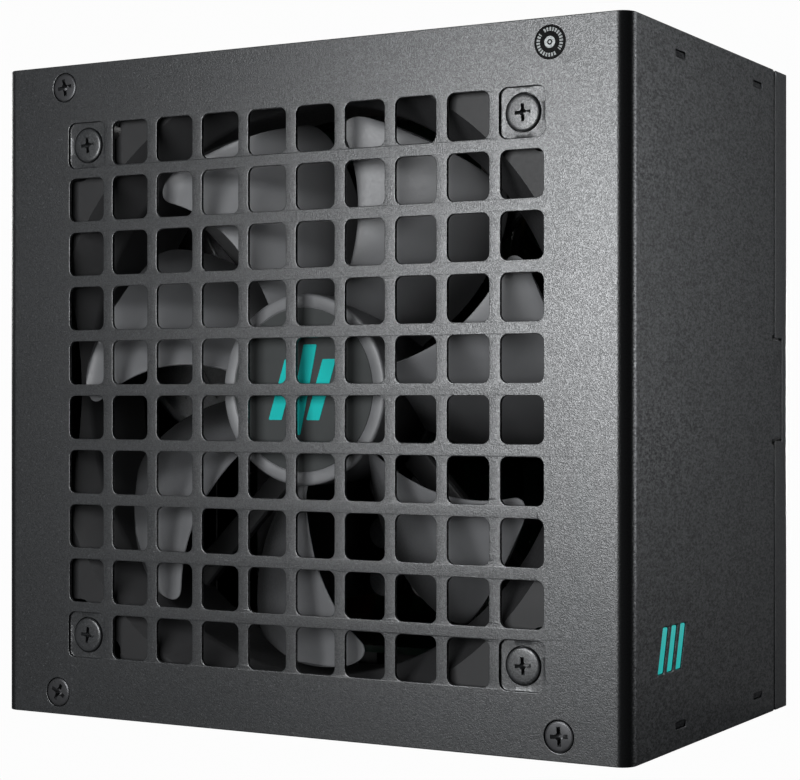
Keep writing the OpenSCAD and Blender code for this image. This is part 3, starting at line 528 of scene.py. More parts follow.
def join(target, source, move=None):
    """Move source into target, mapping each vertex with move."""
    copied = {v: target.verts.new(move(v.co) if move else v.co) for v in source.verts}
    for face in source.faces:
        try:
            target.faces.new([copied[v] for v in face.verts])
        except ValueError:  # a face over the same corners is already there
            pass
    source.free()


def as_object(bm):
    bmesh.ops.recalc_face_normals(bm, faces=bm.faces)
    mesh = bpy.data.meshes.new("tmp_part")
    bm.to_mesh(mesh)
    bm.free()
    ob = bpy.data.objects.new("tmp_part", mesh)
    COLLECTION.objects.link(ob)
    return ob


def combine(body, parts, use_self=False):
    """Apply (operation, bmesh) booleans to body in order."""
    main = as_object(body)
    helpers = [main]
    for operation, part in parts:
        helper = as_object(part)
        helpers.append(helper)
        mod = main.modifiers.new("b", "BOOLEAN")
        mod.operation = operation
        mod.solver = "EXACT"
        mod.object = helper
        mod.use_self = use_self
    bm = baked(main)
    for helper in helpers:
        bpy.data.objects.remove(helper)
    return bm

# ---------------------------------------------------------------------------
# cover: grille face and two sides, cut flat and then bent
# flat coordinates: s across the sheet from the middle, z up, d into the sheet
# ---------------------------------------------------------------------------
COVER_BEND = 3.0
COVER_ARC = COVER_BEND * pi / 2
COVER_FLAT = HALF_W - COVER_BEND          # flat up to here
COVER_SIDE = COVER_FLAT + COVER_ARC       # the side wall starts here
GRILLE_COUNT = 10
GRILLE_PITCH = FAN_SCREW_PITCH / (GRILLE_COUNT - 1)  # the corner holes lie over the fan screws


def cover_s(y):
    """Flat position of a point at depth y on a side wall."""
    return COVER_SIDE + (y - (FRONT_Y + COVER_BEND))


def bend_cover(co):
    s, z, d = co
    side = 1 if s >= 0 else -1
    a = abs(s)
    if a <= COVER_FLAT:
        return Vector((s, FRONT_Y + d, z))
    if a < COVER_SIDE:
        angle = (a - COVER_FLAT) / COVER_BEND
        return Vector((side * (COVER_FLAT + (COVER_BEND - d) * sin(angle)),
                       FRONT_Y + COVER_BEND - (COVER_BEND - d) * cos(angle), z))
    return Vector((side * (HALF_W - d), FRONT_Y + COVER_BEND + (a - COVER_SIDE), z))


def cover_outline():
    seam, tab = cover_s(SEAM_Y), cover_s(TAB_Y)
    relief, gap = seam - 1.1, 1.3         # small relief notches above and below the tab
    # s, z, fillet
    return mirrored_outline([
        (seam, 0.0, 0.5), (seam, TAB_BOTTOM - gap, 0.15), (relief, TAB_BOTTOM - gap, 0.4),
        (relief, TAB_BOTTOM, 0.25), (tab, TAB_BOTTOM, 0.7), (tab, TAB_TOP, 0.7),
        (relief, TAB_TOP, 0.25), (relief, TAB_TOP + gap, 0.4), (seam, TAB_TOP + gap, 0.15),
        (seam, HEIGHT, 0.5)])


def cover_holes():
    holes = []
    middle = (GRILLE_COUNT - 1) / 2
    ends = (0, GRILLE_COUNT - 1)
    for i in range(GRILLE_COUNT):
        for j in range(GRILLE_COUNT):
            width, radius = (9.75, 1.65) if i in ends and j in ends else (9.2, 1.5)
            holes.append(rounded_rect((i - middle) * GRILLE_PITCH,
                                      MID_Z + (j - middle) * GRILLE_PITCH,
                                      width, width, radius, 7))
    holes += [circle(x, z, 3.14, 48) for x, z in CSK_SPOTS]
    holes += [rounded_rect(side * cover_s(y), z, 5.0, 1.4, 0.35, 3) for side in (-1, 1)
              for y in LANCE_Y for z in (LANCE_Z, HEIGHT - LANCE_Z)]
    holes += [round_poly([(cover_s(y), z) for y, z in slit_outline(k)], 0.3) for k in range(3)]
    return holes


def pocket_bm(cx, cz):
    """Pressed screw pocket: floor plate with a round seat for the screw head."""
    count = 80
    angles = [2 * pi * (i + 0.5) / count for i in range(count)]

    def square(width, r, depth):
        """Rounded square sampled on even rays, so it lofts cleanly to the round seat."""
        half = width / 2
        flat = half - r
        loop = []
        for angle in angles:
            c, s = abs(cos(angle)), abs(sin(angle))
            reach = half / max(c, s)
            if reach * c > flat and reach * s > flat:
                b = flat * (c + s)
                reach = b + sqrt(max(0.0, b * b - 2 * flat * flat + r * r))
            loop.append((cx + reach * cos(angle), FRONT_Y + depth, cz + reach * sin(angle)))
        return loop

    def ring(r, depth):
        return [(cx + r * cos(angle), FRONT_Y + depth, cz + r * sin(angle)) for angle in angles]

    loops = [square(11.2, 2.3, 0.82), square(9.70, 1.63, 0.70), square(9.45, 1.52, 0.76),
             ring(3.86, 0.76), ring(3.80, 0.86), ring(3.77, 1.46), ring(3.7, 1.52),
             ring(2.4, 1.52), ring(2.4, 2.3), ring(4.5, 2.3),
             square(10.6, 2.1, 1.6), square(11.2, 2.3, 1.2)]
    bm = bmesh.new()
    loft(bm, loops + [loops[0]], caps=False)
    bmesh.ops.remove_doubles(bm, verts=bm.verts, dist=1e-5)
    return bm


def lance_bm(side, y, z, up):
    """Sheet beside a slot, pushed inwards as a ramp."""
    loops = []
    for u in steps(0, 1, 8):
        depth = 0.34 * u
        outer_x, inner_x = side * (HALF_W - depth - 0.02), side * (HALF_W - depth - SHEET)
        outer_z = z - up * 0.70 + up * 1.20 * u
        inner_z = outer_z - up * 0.1 * u
        half = 2.36 - 0.05 * u
        loops.append([(outer_x, y - half, outer_z), (outer_x, y + half, outer_z),
                      (inner_x, y + half, inner_z), (inner_x, y - half, inner_z)])
    bm = bmesh.new()
    loft(bm, loops)
    return bm


def cover_bm():
    bm = sheet_bm(cover_outline(), cover_holes(), edge=0.17)
    bends = steps(COVER_FLAT, COVER_ARC, 10)
    cut_planes(bm, 0, bends + [-v for v in bends])
    for v in bm.verts:
        v.co = bend_cover(v.co)
    for sx, sz in CORNERS:
        join(bm, pocket_bm(sx * FAN_SCREW, MID_Z + sz * FAN_SCREW))
    for side in (-1, 1):
        for y in LANCE_Y:
            join(bm, lance_bm(side, y, LANCE_Z, -1))
            join(bm, lance_bm(side, y, HEIGHT - LANCE_Z, 1))
    return bm


add_mesh("cover_shell", cover_bm(), powder_coat("powder_coat_black", folded=True), "root",
         "cover", smooth=28, weighted=True)

# ---------------------------------------------------------------------------
# base: back plate, two side lips and two end plates folded from one sheet
# flat coordinates: s across from the middle, w up, d into the sheet
# ---------------------------------------------------------------------------
SIDE_BEND, END_BEND = 2.0, 1.2
SIDE_ARC, END_ARC = SIDE_BEND * pi / 2, END_BEND * pi / 2
SIDE_FLAT = HALF_W - SIDE_BEND
TOP_FLAT = HEIGHT - END_BEND
END_HALF = HALF_W - SHEET - 0.1           # half width of the end plates
CASE_HOLES = [(-69, 37), (69, 37), (-69, -27), (45, -37)]  # x, y in the top end
SOCKET_CELL, SOCKET_ROWS = 4.2, 2
# Modular socket openings in the bottom end: x, y, cells across
SOCKET_OPENINGS = [
    (-56, 0, 4), (-34, 0, 4), (-12, 0, 4), (10, 0, 4), (32, 0, 4), (54, 0, 3),
    (-42, 20, 10), (-6, 20, 4), (14, 20, 3), (34, 20, 3), (54, 20, 3)]


def lip_s(y):
    """Flat position of depth y on a side lip."""
    return SIDE_FLAT + SIDE_ARC + (BACK_Y - SIDE_BEND) - y


def top_w(y):
    """Flat position of depth y on the top end."""
    return TOP_FLAT + END_ARC + (BACK_Y - END_BEND - y)


def bottom_w(y):
    """Flat position of depth y on the bottom end."""
    return END_BEND - END_ARC - (BACK_Y - END_BEND - y)


def bend_end(s, u, d, edge_z, up):
    """Point u past the start of an end bend; edge_z is the outer face, up its direction."""
    if u < END_ARC:
        angle = u / END_BEND
        return Vector((s, BACK_Y - END_BEND + (END_BEND - d) * cos(angle),
                       edge_z - up * END_BEND + up * (END_BEND - d) * sin(angle)))
    return Vector((s, BACK_Y - END_BEND - (u - END_ARC), edge_z - up * d))


def bend_base(co):
    s, w, d = co
    a = abs(s)
    side = 1 if s >= 0 else -1
    if a > SIDE_FLAT and -0.01 < w < HEIGHT + 0.01:
        u = a - SIDE_FLAT
        if u < SIDE_ARC:
            angle = u / SIDE_BEND
            return Vector((side * (SIDE_FLAT + (SIDE_BEND - d) * sin(angle)),
                           BACK_Y - SIDE_BEND + (SIDE_BEND - d) * cos(angle), w))
        return Vector((side * (HALF_W - d), BACK_Y - SIDE_BEND - (u - SIDE_ARC), w))
    if w > TOP_FLAT:
        return bend_end(s, w - TOP_FLAT, d, HEIGHT, 1)
    if w < END_BEND:
        return bend_end(s, END_BEND - w, d, 0.0, -1)
    return Vector((s, BACK_Y - d, w))


def base_outline():
    low, high = bottom_w(FRONT_Y + SHEET), top_w(FRONT_Y + SHEET)
    lip, notch = lip_s(LIP_Y), lip_s(TAB_Y + 0.5)
    lip_low, lip_high = 0.03, HEIGHT - 0.03
    # s, w, fillet
    return mirrored_outline([
        (END_HALF - 2.6, low, 0.8), (END_HALF, low + 2.6, 0.8), (END_HALF, -3.4, 0.4),
        (72.5, -3.4, 0.3), (72.5, 2.6, 0.38), (73.3, 2.6, 0.38), (73.3, lip_low, 0.3),
        (lip, lip_low, 0.7), (lip, TAB_BOTTOM - 0.6, 0.4), (notch, TAB_BOTTOM - 0.6, 0.5),
        (notch, TAB_TOP + 0.6, 0.5), (lip, TAB_TOP + 0.6, 0.4), (lip, lip_high, 0.7),
        (73.3, lip_high, 0.3), (73.3, HEIGHT - 2.6, 0.38), (72.5, HEIGHT - 2.6, 0.38),
        (72.5, HEIGHT + 3.4, 0.3), (END_HALF, HEIGHT + 3.4, 0.4), (END_HALF, high - 2.6, 0.8),
        (END_HALF - 2.6, high, 0.8)])


def base_holes():
    holes = []
    # staggered hexagonal vents in the top end
    for i in range(11):
        for j in range(11):
            x = -58 + i * 6.3
            y = -33 + j * 6.4 + (i % 2) * 3.2
            if y < 34:
                holes.append(round_poly(circle(x, top_w(y), 3.1, 6), 0.45, 2))
    holes += [circle(x, top_w(y), 1.62, 32) for x, y in CASE_HOLES]
    holes.append(circle(-67, top_w(6), 1.6, 24))
    # mains inlet: a rectangle with two corners cut off, between two screw holes
    a, b, cut = 20.4 / 2, 27.8 / 2, 4.5
    inlet = [(-a, -b), (a - cut, -b), (a, -b + cut), (a, b - cut), (a - cut, b), (-a, b)]
    holes.append(round_poly([(INLET_X + x, top_w(INLET_Y + y)) for x, y in inlet], 0.6))
    holes += [circle(INLET_X, top_w(INLET_Y + side * 20), 1.75, 24) for side in (-1, 1)]
    holes.append(rounded_rect(SWITCH_X, top_w(SWITCH_Y), 13.2, 19.4, 0.4, 2))
    holes += [rounded_rect(x, bottom_w(y), cells * SOCKET_CELL + 1.7,
                           SOCKET_ROWS * SOCKET_CELL + 1.7, 0.5, 3)
              for x, y, cells in SOCKET_OPENINGS]
    return holes


def side_flanges(bm):
    """Inner flanges along the sides of both ends, notched round the lanced tabs."""
    ys = [-38.0] + [v for y in LANCE_Y for v in (y - 3.1, y + 3.1)] + [31.5]
    # flange from z0 to z1, and the bridge past each tab from bridge0 to bridge1
    levels = ((SHEET, 9.0, LANCE_Z + 1.6, 9.0),
              (HEIGHT - 9.0, HEIGHT - SHEET, HEIGHT - 9.0, HEIGHT - LANCE_Z - 1.6))
    for side in (-1, 1):
        x0, x1 = sorted((side * END_HALF, side * (END_HALF - SHEET)))
        for z0, z1, bridge0, bridge1 in levels:
            for y0, y1 in zip(ys[::2], ys[1::2]):
                box(bm, (x0, y0, z0), (x1, y1, z1), 0.12)
            for y in LANCE_Y:
                box(bm, (x0, y - 3.1, bridge0), (x1, y + 3.1, bridge1), 0.1)


def front_flanges(bm):
    """Flanges behind the grille face, with a countersunk collar for each cover screw."""
    # radius, depth behind the grille face
    collar = [(3.2, SHEET), (1.62, SHEET + 0.75), (1.62, 2 * SHEET + 1.6),
              (2.6, 2 * SHEET + 1.6), (2.6, 2 * SHEET), (4.2, 2 * SHEET), (4.2, SHEET),
              (3.2, SHEET)]
    for screw_x, screw_z, z0, z1 in (
            (CSK_X_BOTTOM, CSK_INSET, SHEET, 10.0),
            (CSK_X_TOP, CSK_Z_TOP, HEIGHT - 10.0, HEIGHT - SHEET)):
        for x0, x1 in ((-END_HALF + 2.6, -screw_x - 3.2), (-screw_x + 3.2, screw_x - 3.2),
                       (screw_x + 3.2, END_HALF - 2.6)):
            box(bm, (x0, FRONT_Y + SHEET, z0), (x1, FRONT_Y + 2 * SHEET, z1), 0.1)
        for side in (-1, 1):
            lathe(bm, collar, 40, (side * screw_x, FRONT_Y, screw_z))


def base_bm():
    bm = sheet_bm(base_outline(), base_holes(), edge=0.15)
    bends = steps(SIDE_FLAT, SIDE_ARC, 8)
    cut_planes(bm, 0, bends + [-v for v in bends])
    cut_planes(bm, 1, steps(TOP_FLAT, END_ARC, 6) + steps(END_BEND, -END_ARC, 6))
    for v in bm.verts:
        v.co = bend_base(v.co)
    side_flanges(bm)
    front_flanges(bm)
    # drawn collars under the case screw holes: radius, height
    collar = [(1.62, HEIGHT - 0.1), (1.62, HEIGHT - 2.35), (1.75, HEIGHT - 2.4),
              (2.5, HEIGHT - 2.4), (2.65, HEIGHT - 2.2), (2.8, HEIGHT - SHEET - 0.1),
              (3.1, HEIGHT - SHEET + 0.05)]
    for x, y in CASE_HOLES:
        lathe(bm, collar, 32, (x, y, 0), axis=along_z)
    return bm


add_mesh("base_shell", base_bm(), powder_coat("powder_coat_base"), "root",
         "chassis_base", smooth=28, weighted=True)

# ---------------------------------------------------------------------------
# fan rotor: hub, seven blades, label and emblem
# ---------------------------------------------------------------------------
HUB_R, BLADE_TIP_R = 19.6, 56.6
BLADE_ROOT_R = HUB_R - 0.6
BLADE_COUNT, BLADE_START = 7, 116.0       # number, angle of the first one in degrees
BLADE_SWEEP = 18.0                        # degrees from root to tip
TIP_START, TIP_SPAN = 0.88, 0.12          # part of the span where the tip is rounded
SPAN_STEPS, TIP_STEPS, CHORD_STEPS = 34, 12, 24
# Hub cap: radius, depth behind the hub front
HUB_PROFILE = [
    (0, 0.2), (16.86, 0.2), (16.92, 0.16), (16.95, 0.06), (17.05, 0), (18.9, 0),
    (19.25, 0.07), (19.48, 0.24), (19.58, 0.5), (19.6, 0.8), (19.6, 19.0), (19.5, 19.22),
    (19.3, 19.3), (18.5, 19.3), (18.3, 19.2), (18.25, 19.0), (18.25, 1.8), (18.1, 1.62),
    (0, 1.6)]


def blade_plastic():
    """Grey plastic that darkens towards the back, as light is lost in the duct."""
    spec = 0.45
    m = moulded("fan_plastic", (0.082, 0.083, 0.086), rough=0.44, grain=0.14, scale=1700,
                spec=spec)
    depth = m.node("ShaderNodeMapRange", {
        "From Min": (HUB_Y + 3.6) * MM, "From Max": (HUB_Y + 15.5) * MM,
        "To Min": 1.0, "To Max": 0.08, "Value": m.split()[1]}, interpolation_type="SMOOTHSTEP")
    light = depth.outputs[0]
    plastic = m.shader.inputs["Base Color"].links[0].from_socket
    return m.set(color=m.mix(light, (0.004, 0.004, 0.004), plastic), spec=m.mul(spec, light))


def blade_point(s, q, d):
    """Angle, radius, y and thickness of a blade point.

    s runs from root to tip, q from leading to trailing edge, d from front to back.
    """
    u = max(0.0, (s - TIP_START) / TIP_SPAN)
    tip = 1 - sqrt(max(0.0, 1 - u * u))
    lead = BLADE_SWEEP * s ** 1.77 - 8.4 * tip
    chord = 36 + 2.5 * s - 11.0 * tip     # degrees
    r = BLADE_ROOT_R + (BLADE_TIP_R - BLADE_ROOT_R) * s
    y = HUB_Y + 0.62 + (17.5 - 4.5 * s) * q ** (1.10 + 0.40 * s)
    thick = (1.5 - 0.6 * s) * (0.35 + 0.65 * sin(pi * q ** 0.7))
    thick += 0.8 * exp(-max(0.0, r - HUB_R) / 0.8)  # root fillet
    return radians(lead - chord * q), r, y + d * thick, thick


def blade_section(s):
    """Closed loop of (angle, radius, y) round the blade at span s."""
    chord = [0.5 - 0.5 * cos(pi * j / CHORD_STEPS) for j in range(CHORD_STEPS + 1)]

    def nose(q, direction):
        angle, r, y, thick = blade_point(s, q, 0.5)
        return angle + direction * 0.45 * thick / r, r, y

    front = [blade_point(s, q, 0.0)[:3] for q in chord]
    back = [blade_point(s, q, 1.0)[:3] for q in reversed(chord)]
    return front + [nose(1.0, -1)] + back + [nose(0.0, 1)]


def impeller_bm():
    bm = bmesh.new()
    spans = [TIP_START * i / SPAN_STEPS for i in range(SPAN_STEPS + 1)]
    spans += [TIP_START + TIP_SPAN * sin(radians(90 * i / TIP_STEPS))
              for i in range(1, TIP_STEPS + 1)]
    for k in range(BLADE_COUNT):
        turn = radians(BLADE_START + k * 360 / BLADE_COUNT)
        loft(bm, [[(r * cos(a + turn), y, MID_Z + r * sin(a + turn))
                   for a, r, y in blade_section(s)] for s in spans])
    lathe(bm, HUB_PROFILE, 128, (0, HUB_Y, MID_Z))
    return bm


def emblem_bm():
    """Three slanted bars, the middle one tallest."""
    bm = bmesh.new()
    for k in (-1, 0, 1):
        half = 9.2 - abs(k) * 3
        x = 4.6 * k
        outline = round_poly([(-3.6 + x, MID_Z - half), (-0.4 + x, MID_Z - half),
                              (3.6 + x, MID_Z + half), (0.4 + x, MID_Z + half)], 0.25)
        loft(bm, [[(x, y, z) for x, z in outline] for y in (HUB_Y - 0.12, HUB_Y + 0.005)])
    return bm


add_mesh("fan_impeller_shell", impeller_bm(), blade_plastic(), "rotor",
         "fan_impeller", smooth=40)
LABEL_PROFILE = [(0, 0.0), (16.6, 0.0), (16.7, 0.02), (16.75, 0.07), (16.75, 0.19), (0, 0.19)]
add_mesh("hub_label_disc", lathe_bm(LABEL_PROFILE, 128, (0, HUB_Y, MID_Z)),
         moulded("hub_label_film", (0.030, 0.032, 0.032), rough=0.75, grain=0.05, scale=2600,
                 spec=0.12),
         "rotor", "hub_label", smooth=35)
add_mesh("hub_emblem_bars", emblem_bm(),
         moulded("teal_print", (0.006, 0.26, 0.245), rough=0.72, grain=0.06, scale=2200,
                 spec=0.08),
         "rotor", "hub_emblem")

# ---------------------------------------------------------------------------
# screws with a driven cross recess
# ---------------------------------------------------------------------------
def thread(start, pitch, turns, groove):
    """Profile points of a thread; groove lists (radius, height within a turn)."""
    return [(r, start + pitch * k + h) for k in range(turns) for r, h in groove]


# Profiles: radius, depth behind the grille face
COVER_SCREW_PROFILE = (
    [(0, 0.03), (2.55, 0.03), (2.82, 0.07), (2.95, 0.16), (2.98, 0.26), (1.55, 1.62),
     (1.48, 1.75), (1.48, 2.0)]
    + thread(2.0, 0.5, 7, [(1.50, 0.12), (1.32, 0.30), (1.32, 0.38), (1.50, 0.5)])
    + [(1.30, 5.42), (0, 5.5)])
FAN_SCREW_PROFILE = (
    [(0, 0.34), (1.5, 0.35), (2.9, 0.37), (3.3, 0.41), (3.5, 0.50), (3.6, 0.64), (3.62, 0.82),
     (3.62, 1.49), (2.1, 1.5)]
    + thread(1.5, 1.0, 10, [(2.08, 0.25), (1.70, 0.62), (1.70, 0.72), (2.08, 1.0)])
    + [(1.6, 12.2), (1.3, 12.5), (0, 12.5)])


def cross_cutter(depth, length, width):
    """Tapered cross; length and width are half sizes of an arm at the head top, h = 0."""
    bm = bmesh.new()
    above = -0.6
    for turned in (False, True):
        loops = []
        for h, k, kw in ((above, 1.0, 1.12), (0.0, 1.0, 1.0), (depth * 0.75, 0.62, 0.72),
                         (depth, 0.34, 0.55)):
            a, c = length * k, width * kw
            points = [(-a, -c), (a, -c), (a, c), (-a, c)]
            if turned:
                points = [(-y, x) for x, y in points]
            loops.append([(x, y, h) for x, y in points])
        loft(bm, loops)
    # the four flanks between the arms are opened a little, as a driver recess is
    loft(bm, [[(x, y, h) for x, y in circle(0, 0, width * 2.05 * k, 8)]
              for h, k in ((above, 1.0), (0.0, 1.0), (depth * 0.7, 0.8), (depth * 0.98, 0.45))])
    return bm


def screw_bm(profile, recess, angle):
    """Head and shank about the Z axis; the recess is turned by angle degrees."""
    body = bmesh.new()
    lathe(body, profile, 64, axis=along_z)
    cutter = cross_cutter(**recess)
    c, s = cos(radians(angle)), sin(radians(angle))
    for v in cutter.verts:
        x, y, z = v.co
        v.co = (x * c - y * s, x * s + y * c, z + profile[0][1])
    return combine(body, [("DIFFERENCE", cutter)], use_self=True)


def add_screws(name, profile, spots, angles, recess, mat, node):
    bm = bmesh.new()
    for (x, z), angle in zip(spots, angles):
        place = Vector((x, FRONT_Y, z))
        join(bm, screw_bm(profile, recess, angle), lambda co: Vector(along_y(*co)) + place)
    add_mesh(name, bm, mat, "root", node, smooth=32)


BLACK_ZINC = metal("black_zinc", (0.050, 0.050, 0.052), rough=0.36, edge=0, grain=0.2,
                   tint=(0.030, 0.030, 0.032), metallic=0.55)
add_screws("cover_screw_set", COVER_SCREW_PROFILE, CSK_SPOTS, (8, 20, -28, 4),
           dict(length=1.85, width=0.40, depth=1.25), BLACK_ZINC, "cover_screws")
add_screws("fan_screw_set", FAN_SCREW_PROFILE,
           [(sx * FAN_SCREW, MID_Z + sz * FAN_SCREW) for sz in (1, -1) for sx in (-1, 1)],
           (4, 2, -6, 5), dict(length=1.72, width=0.36, depth=1.6),
           powder_coat("coated_screw_head", base=0.022, grain=0.8), "fan_screws")

# ---------------------------------------------------------------------------
# fan frame: chamfered inlet, notched corners, struts and motor cup
# ---------------------------------------------------------------------------
DUCT_R, MOUTH_R = 58.5, 65.2
FRAME_W, FRAME_R = 120, 6.0               # outer square and its corner radius


def frame_plate(stations):
    """Square plate; stations are (y, width, corner radius)."""
    bm = bmesh.new()
    loft(bm, [[(x, y, z) for x, z in rounded_rect(0, MID_Z, w, w, r, 8)]
              for y, w, r in stations])
    return bm


def notch_bm(sx, sz):
    """Cutter for one corner of the front plate, clearing the pressed screw pocket."""
    # offsets from the screw towards the fan axis
    outline = ([(-8.5, -8.5), (7.4, -8.5)] + arc(5.4, -3, 2, 0, 90, 6)
               + arc(0, 0, 5.05, -12, -258, 40) + arc(-3, 5.4, 2, 0, 90, 6) + [(-8.5, 7.4)])
    bm = bmesh.new()
    loft(bm, [[(sx * (FAN_SCREW - u), y, MID_Z + sz * (FAN_SCREW - v)) for u, v in outline]
              for y in (FAN_FRONT - 1, FAN_FRONT + 8.4)])
    return bm


def add_struts(bm):
    """Four diagonal struts with a rounded front."""
    for k in range(4):
        a = radians(45 + 90 * k)
        outward = Vector((cos(a), 0, sin(a)))
        across = Vector((-sin(a), 0, cos(a)))
        loops = []
        for r in (17.5, 24, 36, 50, DUCT_R + 0.8):
            half = 2.6 + 0.5 * ((r - 38) / 20) ** 2
            centre = Vector((0, 0, MID_Z)) + outward * r
            # offset across the strut, height in front of the frame back
            section = [(-half, 0.1), (-half, 1.9), (-half + 0.4, 2.35), (-half + 1.0, 2.5),
                       (half - 1.0, 2.5), (half - 0.4, 2.35), (half, 1.9), (half, 0.1)]
            loops.append([centre + across * u + Vector((0, FAN_BACK - rise, 0))
                          for u, rise in section])
        loft(bm, loops)


def fan_frame_bm():
    front = frame_plate([(FAN_FRONT, FRAME_W - 0.6, FRAME_R - 0.3),
                         (FAN_FRONT + 0.3, FRAME_W, FRAME_R), (FAN_FRONT + 8.2, FRAME_W, FRAME_R)])
    back = frame_plate([(FAN_BACK - 3.5, FRAME_W, FRAME_R), (FAN_BACK - 0.3, FRAME_W, FRAME_R),
                        (FAN_BACK, FRAME_W - 0.6, FRAME_R - 0.3)])
    axis = (0, 0, MID_Z)
    wall = lathe_bm([(55, FAN_FRONT + 6.0), (59.98, FAN_FRONT + 6.0), (59.98, FAN_BACK - 2.0),
                     (55, FAN_BACK - 2.0), (55, FAN_FRONT + 6.0)], 160, axis)
    screw_axes = [(sx * FAN_SCREW, 0, MID_Z + sz * FAN_SCREW) for sx, sz in CORNERS]
    posts = bmesh.new()
    for centre in screw_axes:
        lathe(posts, [(0, FAN_FRONT + 7.5), (4.0, FAN_FRONT + 7.5), (4.0, FAN_BACK - 2.0),
                      (0, FAN_BACK - 2.0)], 32, centre)
    flare = FAN_FRONT + MOUTH_R - DUCT_R  # where the 45 degree mouth meets the duct
    bore = lathe_bm([(0, FAN_FRONT - 1), (MOUTH_R + 1.0, FAN_FRONT - 1.0),
                     (DUCT_R + 0.6, flare - 0.6), (DUCT_R + 0.17, flare + 0.05),
                     (DUCT_R, flare + 0.7), (DUCT_R, FAN_BACK + 1), (0, FAN_BACK + 1)],
                    160, axis)
    parts = [("UNION", back), ("UNION", wall), ("UNION", posts), ("DIFFERENCE", bore)]
    for (sx, sz), centre in zip(CORNERS, screw_axes):
        hole = lathe_bm([(0, FAN_FRONT - 1), (2.15, FAN_FRONT - 1), (2.15, FAN_BACK + 1),
                         (0, FAN_BACK + 1)], 32, centre)
        parts += [("DIFFERENCE", notch_bm(sx, sz)), ("DIFFERENCE", hole)]
    bm = combine(front, parts)
    add_struts(bm)
    # motor cup with its bearing tube: radius, height in front of the frame back
    cup = [(0, 1.2), (3.55, 1.2), (3.55, 16.5), (4.85, 16.5), (5.0, 16.3), (5.0, 2.4),
           (19.2, 2.4), (19.4, 2.2), (19.4, 0.2), (19.2, 0), (0, 0)]
    lathe(bm, [(r, FAN_BACK - rise) for r, rise in cup], 96, axis)
    return bm


add_mesh("fan_frame_shell", fan_frame_bm(),
         moulded("fan_frame_plastic", (0.013, 0.013, 0.0135), rough=0.46, grain=0.16,
                 scale=1400, spec=0.26),
         "root", "fan_frame")

# ---------------------------------------------------------------------------
# seal sticker, side badge, rating label
# ---------------------------------------------------------------------------
def seal_film():
    """Black film with a printed ring of ticks, a smaller ring and a dot; no lettering."""
    m = Mat("seal_film")
    x, _, z = m.split()
    dx, dz = m.sub(x, CSK_X_TOP * MM), m.sub(z, CSK_Z_TOP * MM)
    r = m.hypot(m.mul(dx, dx), m.mul(dz, dz))
    angle = m.math("ARCTAN2", dz, dx)
    # 26 ticks round the ring, broken by two gaps; the offsets keep the angle positive
    ticks = m.above(m.fract(m.mul(m.add(angle, 10.0), 26 / (2 * pi))), 0.38)
    gap = m.above(m.fract(m.mul(m.add(angle, 10.4), 2 / (2 * pi))), 0.10)
    ring = m.mul(m.between(r, 2.08 * MM, 2.78 * MM), m.mul(ticks, gap))
    centre = m.either(m.between(r, 0.55 * MM, 1.12 * MM), m.below(r, 0.26 * MM))
    wear = m.ramp(m.noise(scale=5200, detail=1.0), [(0.3, 0.45), (0.6, 1.0)])
    ink = m.mul(m.either(m.mul(ring, 0.75), centre), wear)  # the ring prints fainter
    film = m.vary(m.noise(scale=900), (0.002, 0.002, 0.002), (0.004, 0.004, 0.004))
    return m.set(color=m.mix(ink, film, (0.60, 0.62, 0.62)),
                 rough=m.vary(m.noise(scale=1500), 0.55, 0.68), spec=0.08,
                 normal=m.bump(m.noise(scale=1800), strength=0.1, dist=0.00002))


def badge_bm():
    """Plate behind the +X side with three bars standing in its slanted slits."""
    bm = bmesh.new()
    inner = HALF_W - SHEET
    loft(bm, [[(x, y, z) for y, z in rounded_rect(-23.25, 20.0, 17.5, 12.0, 1.0, 5)]
              for x in (inner - 0.5, inner - 0.03)])
    for k in range(3):
        loft(bm, [[(x, y, z) for y, z in round_poly(slit_outline(k, inset), 0.3)]
                  for inset, x in ((0.14, inner - 0.2), (0.12, HALF_W - 0.26),
                                   (0.16, HALF_W - 0.19), (0.24, HALF_W - 0.17))])
    return bm


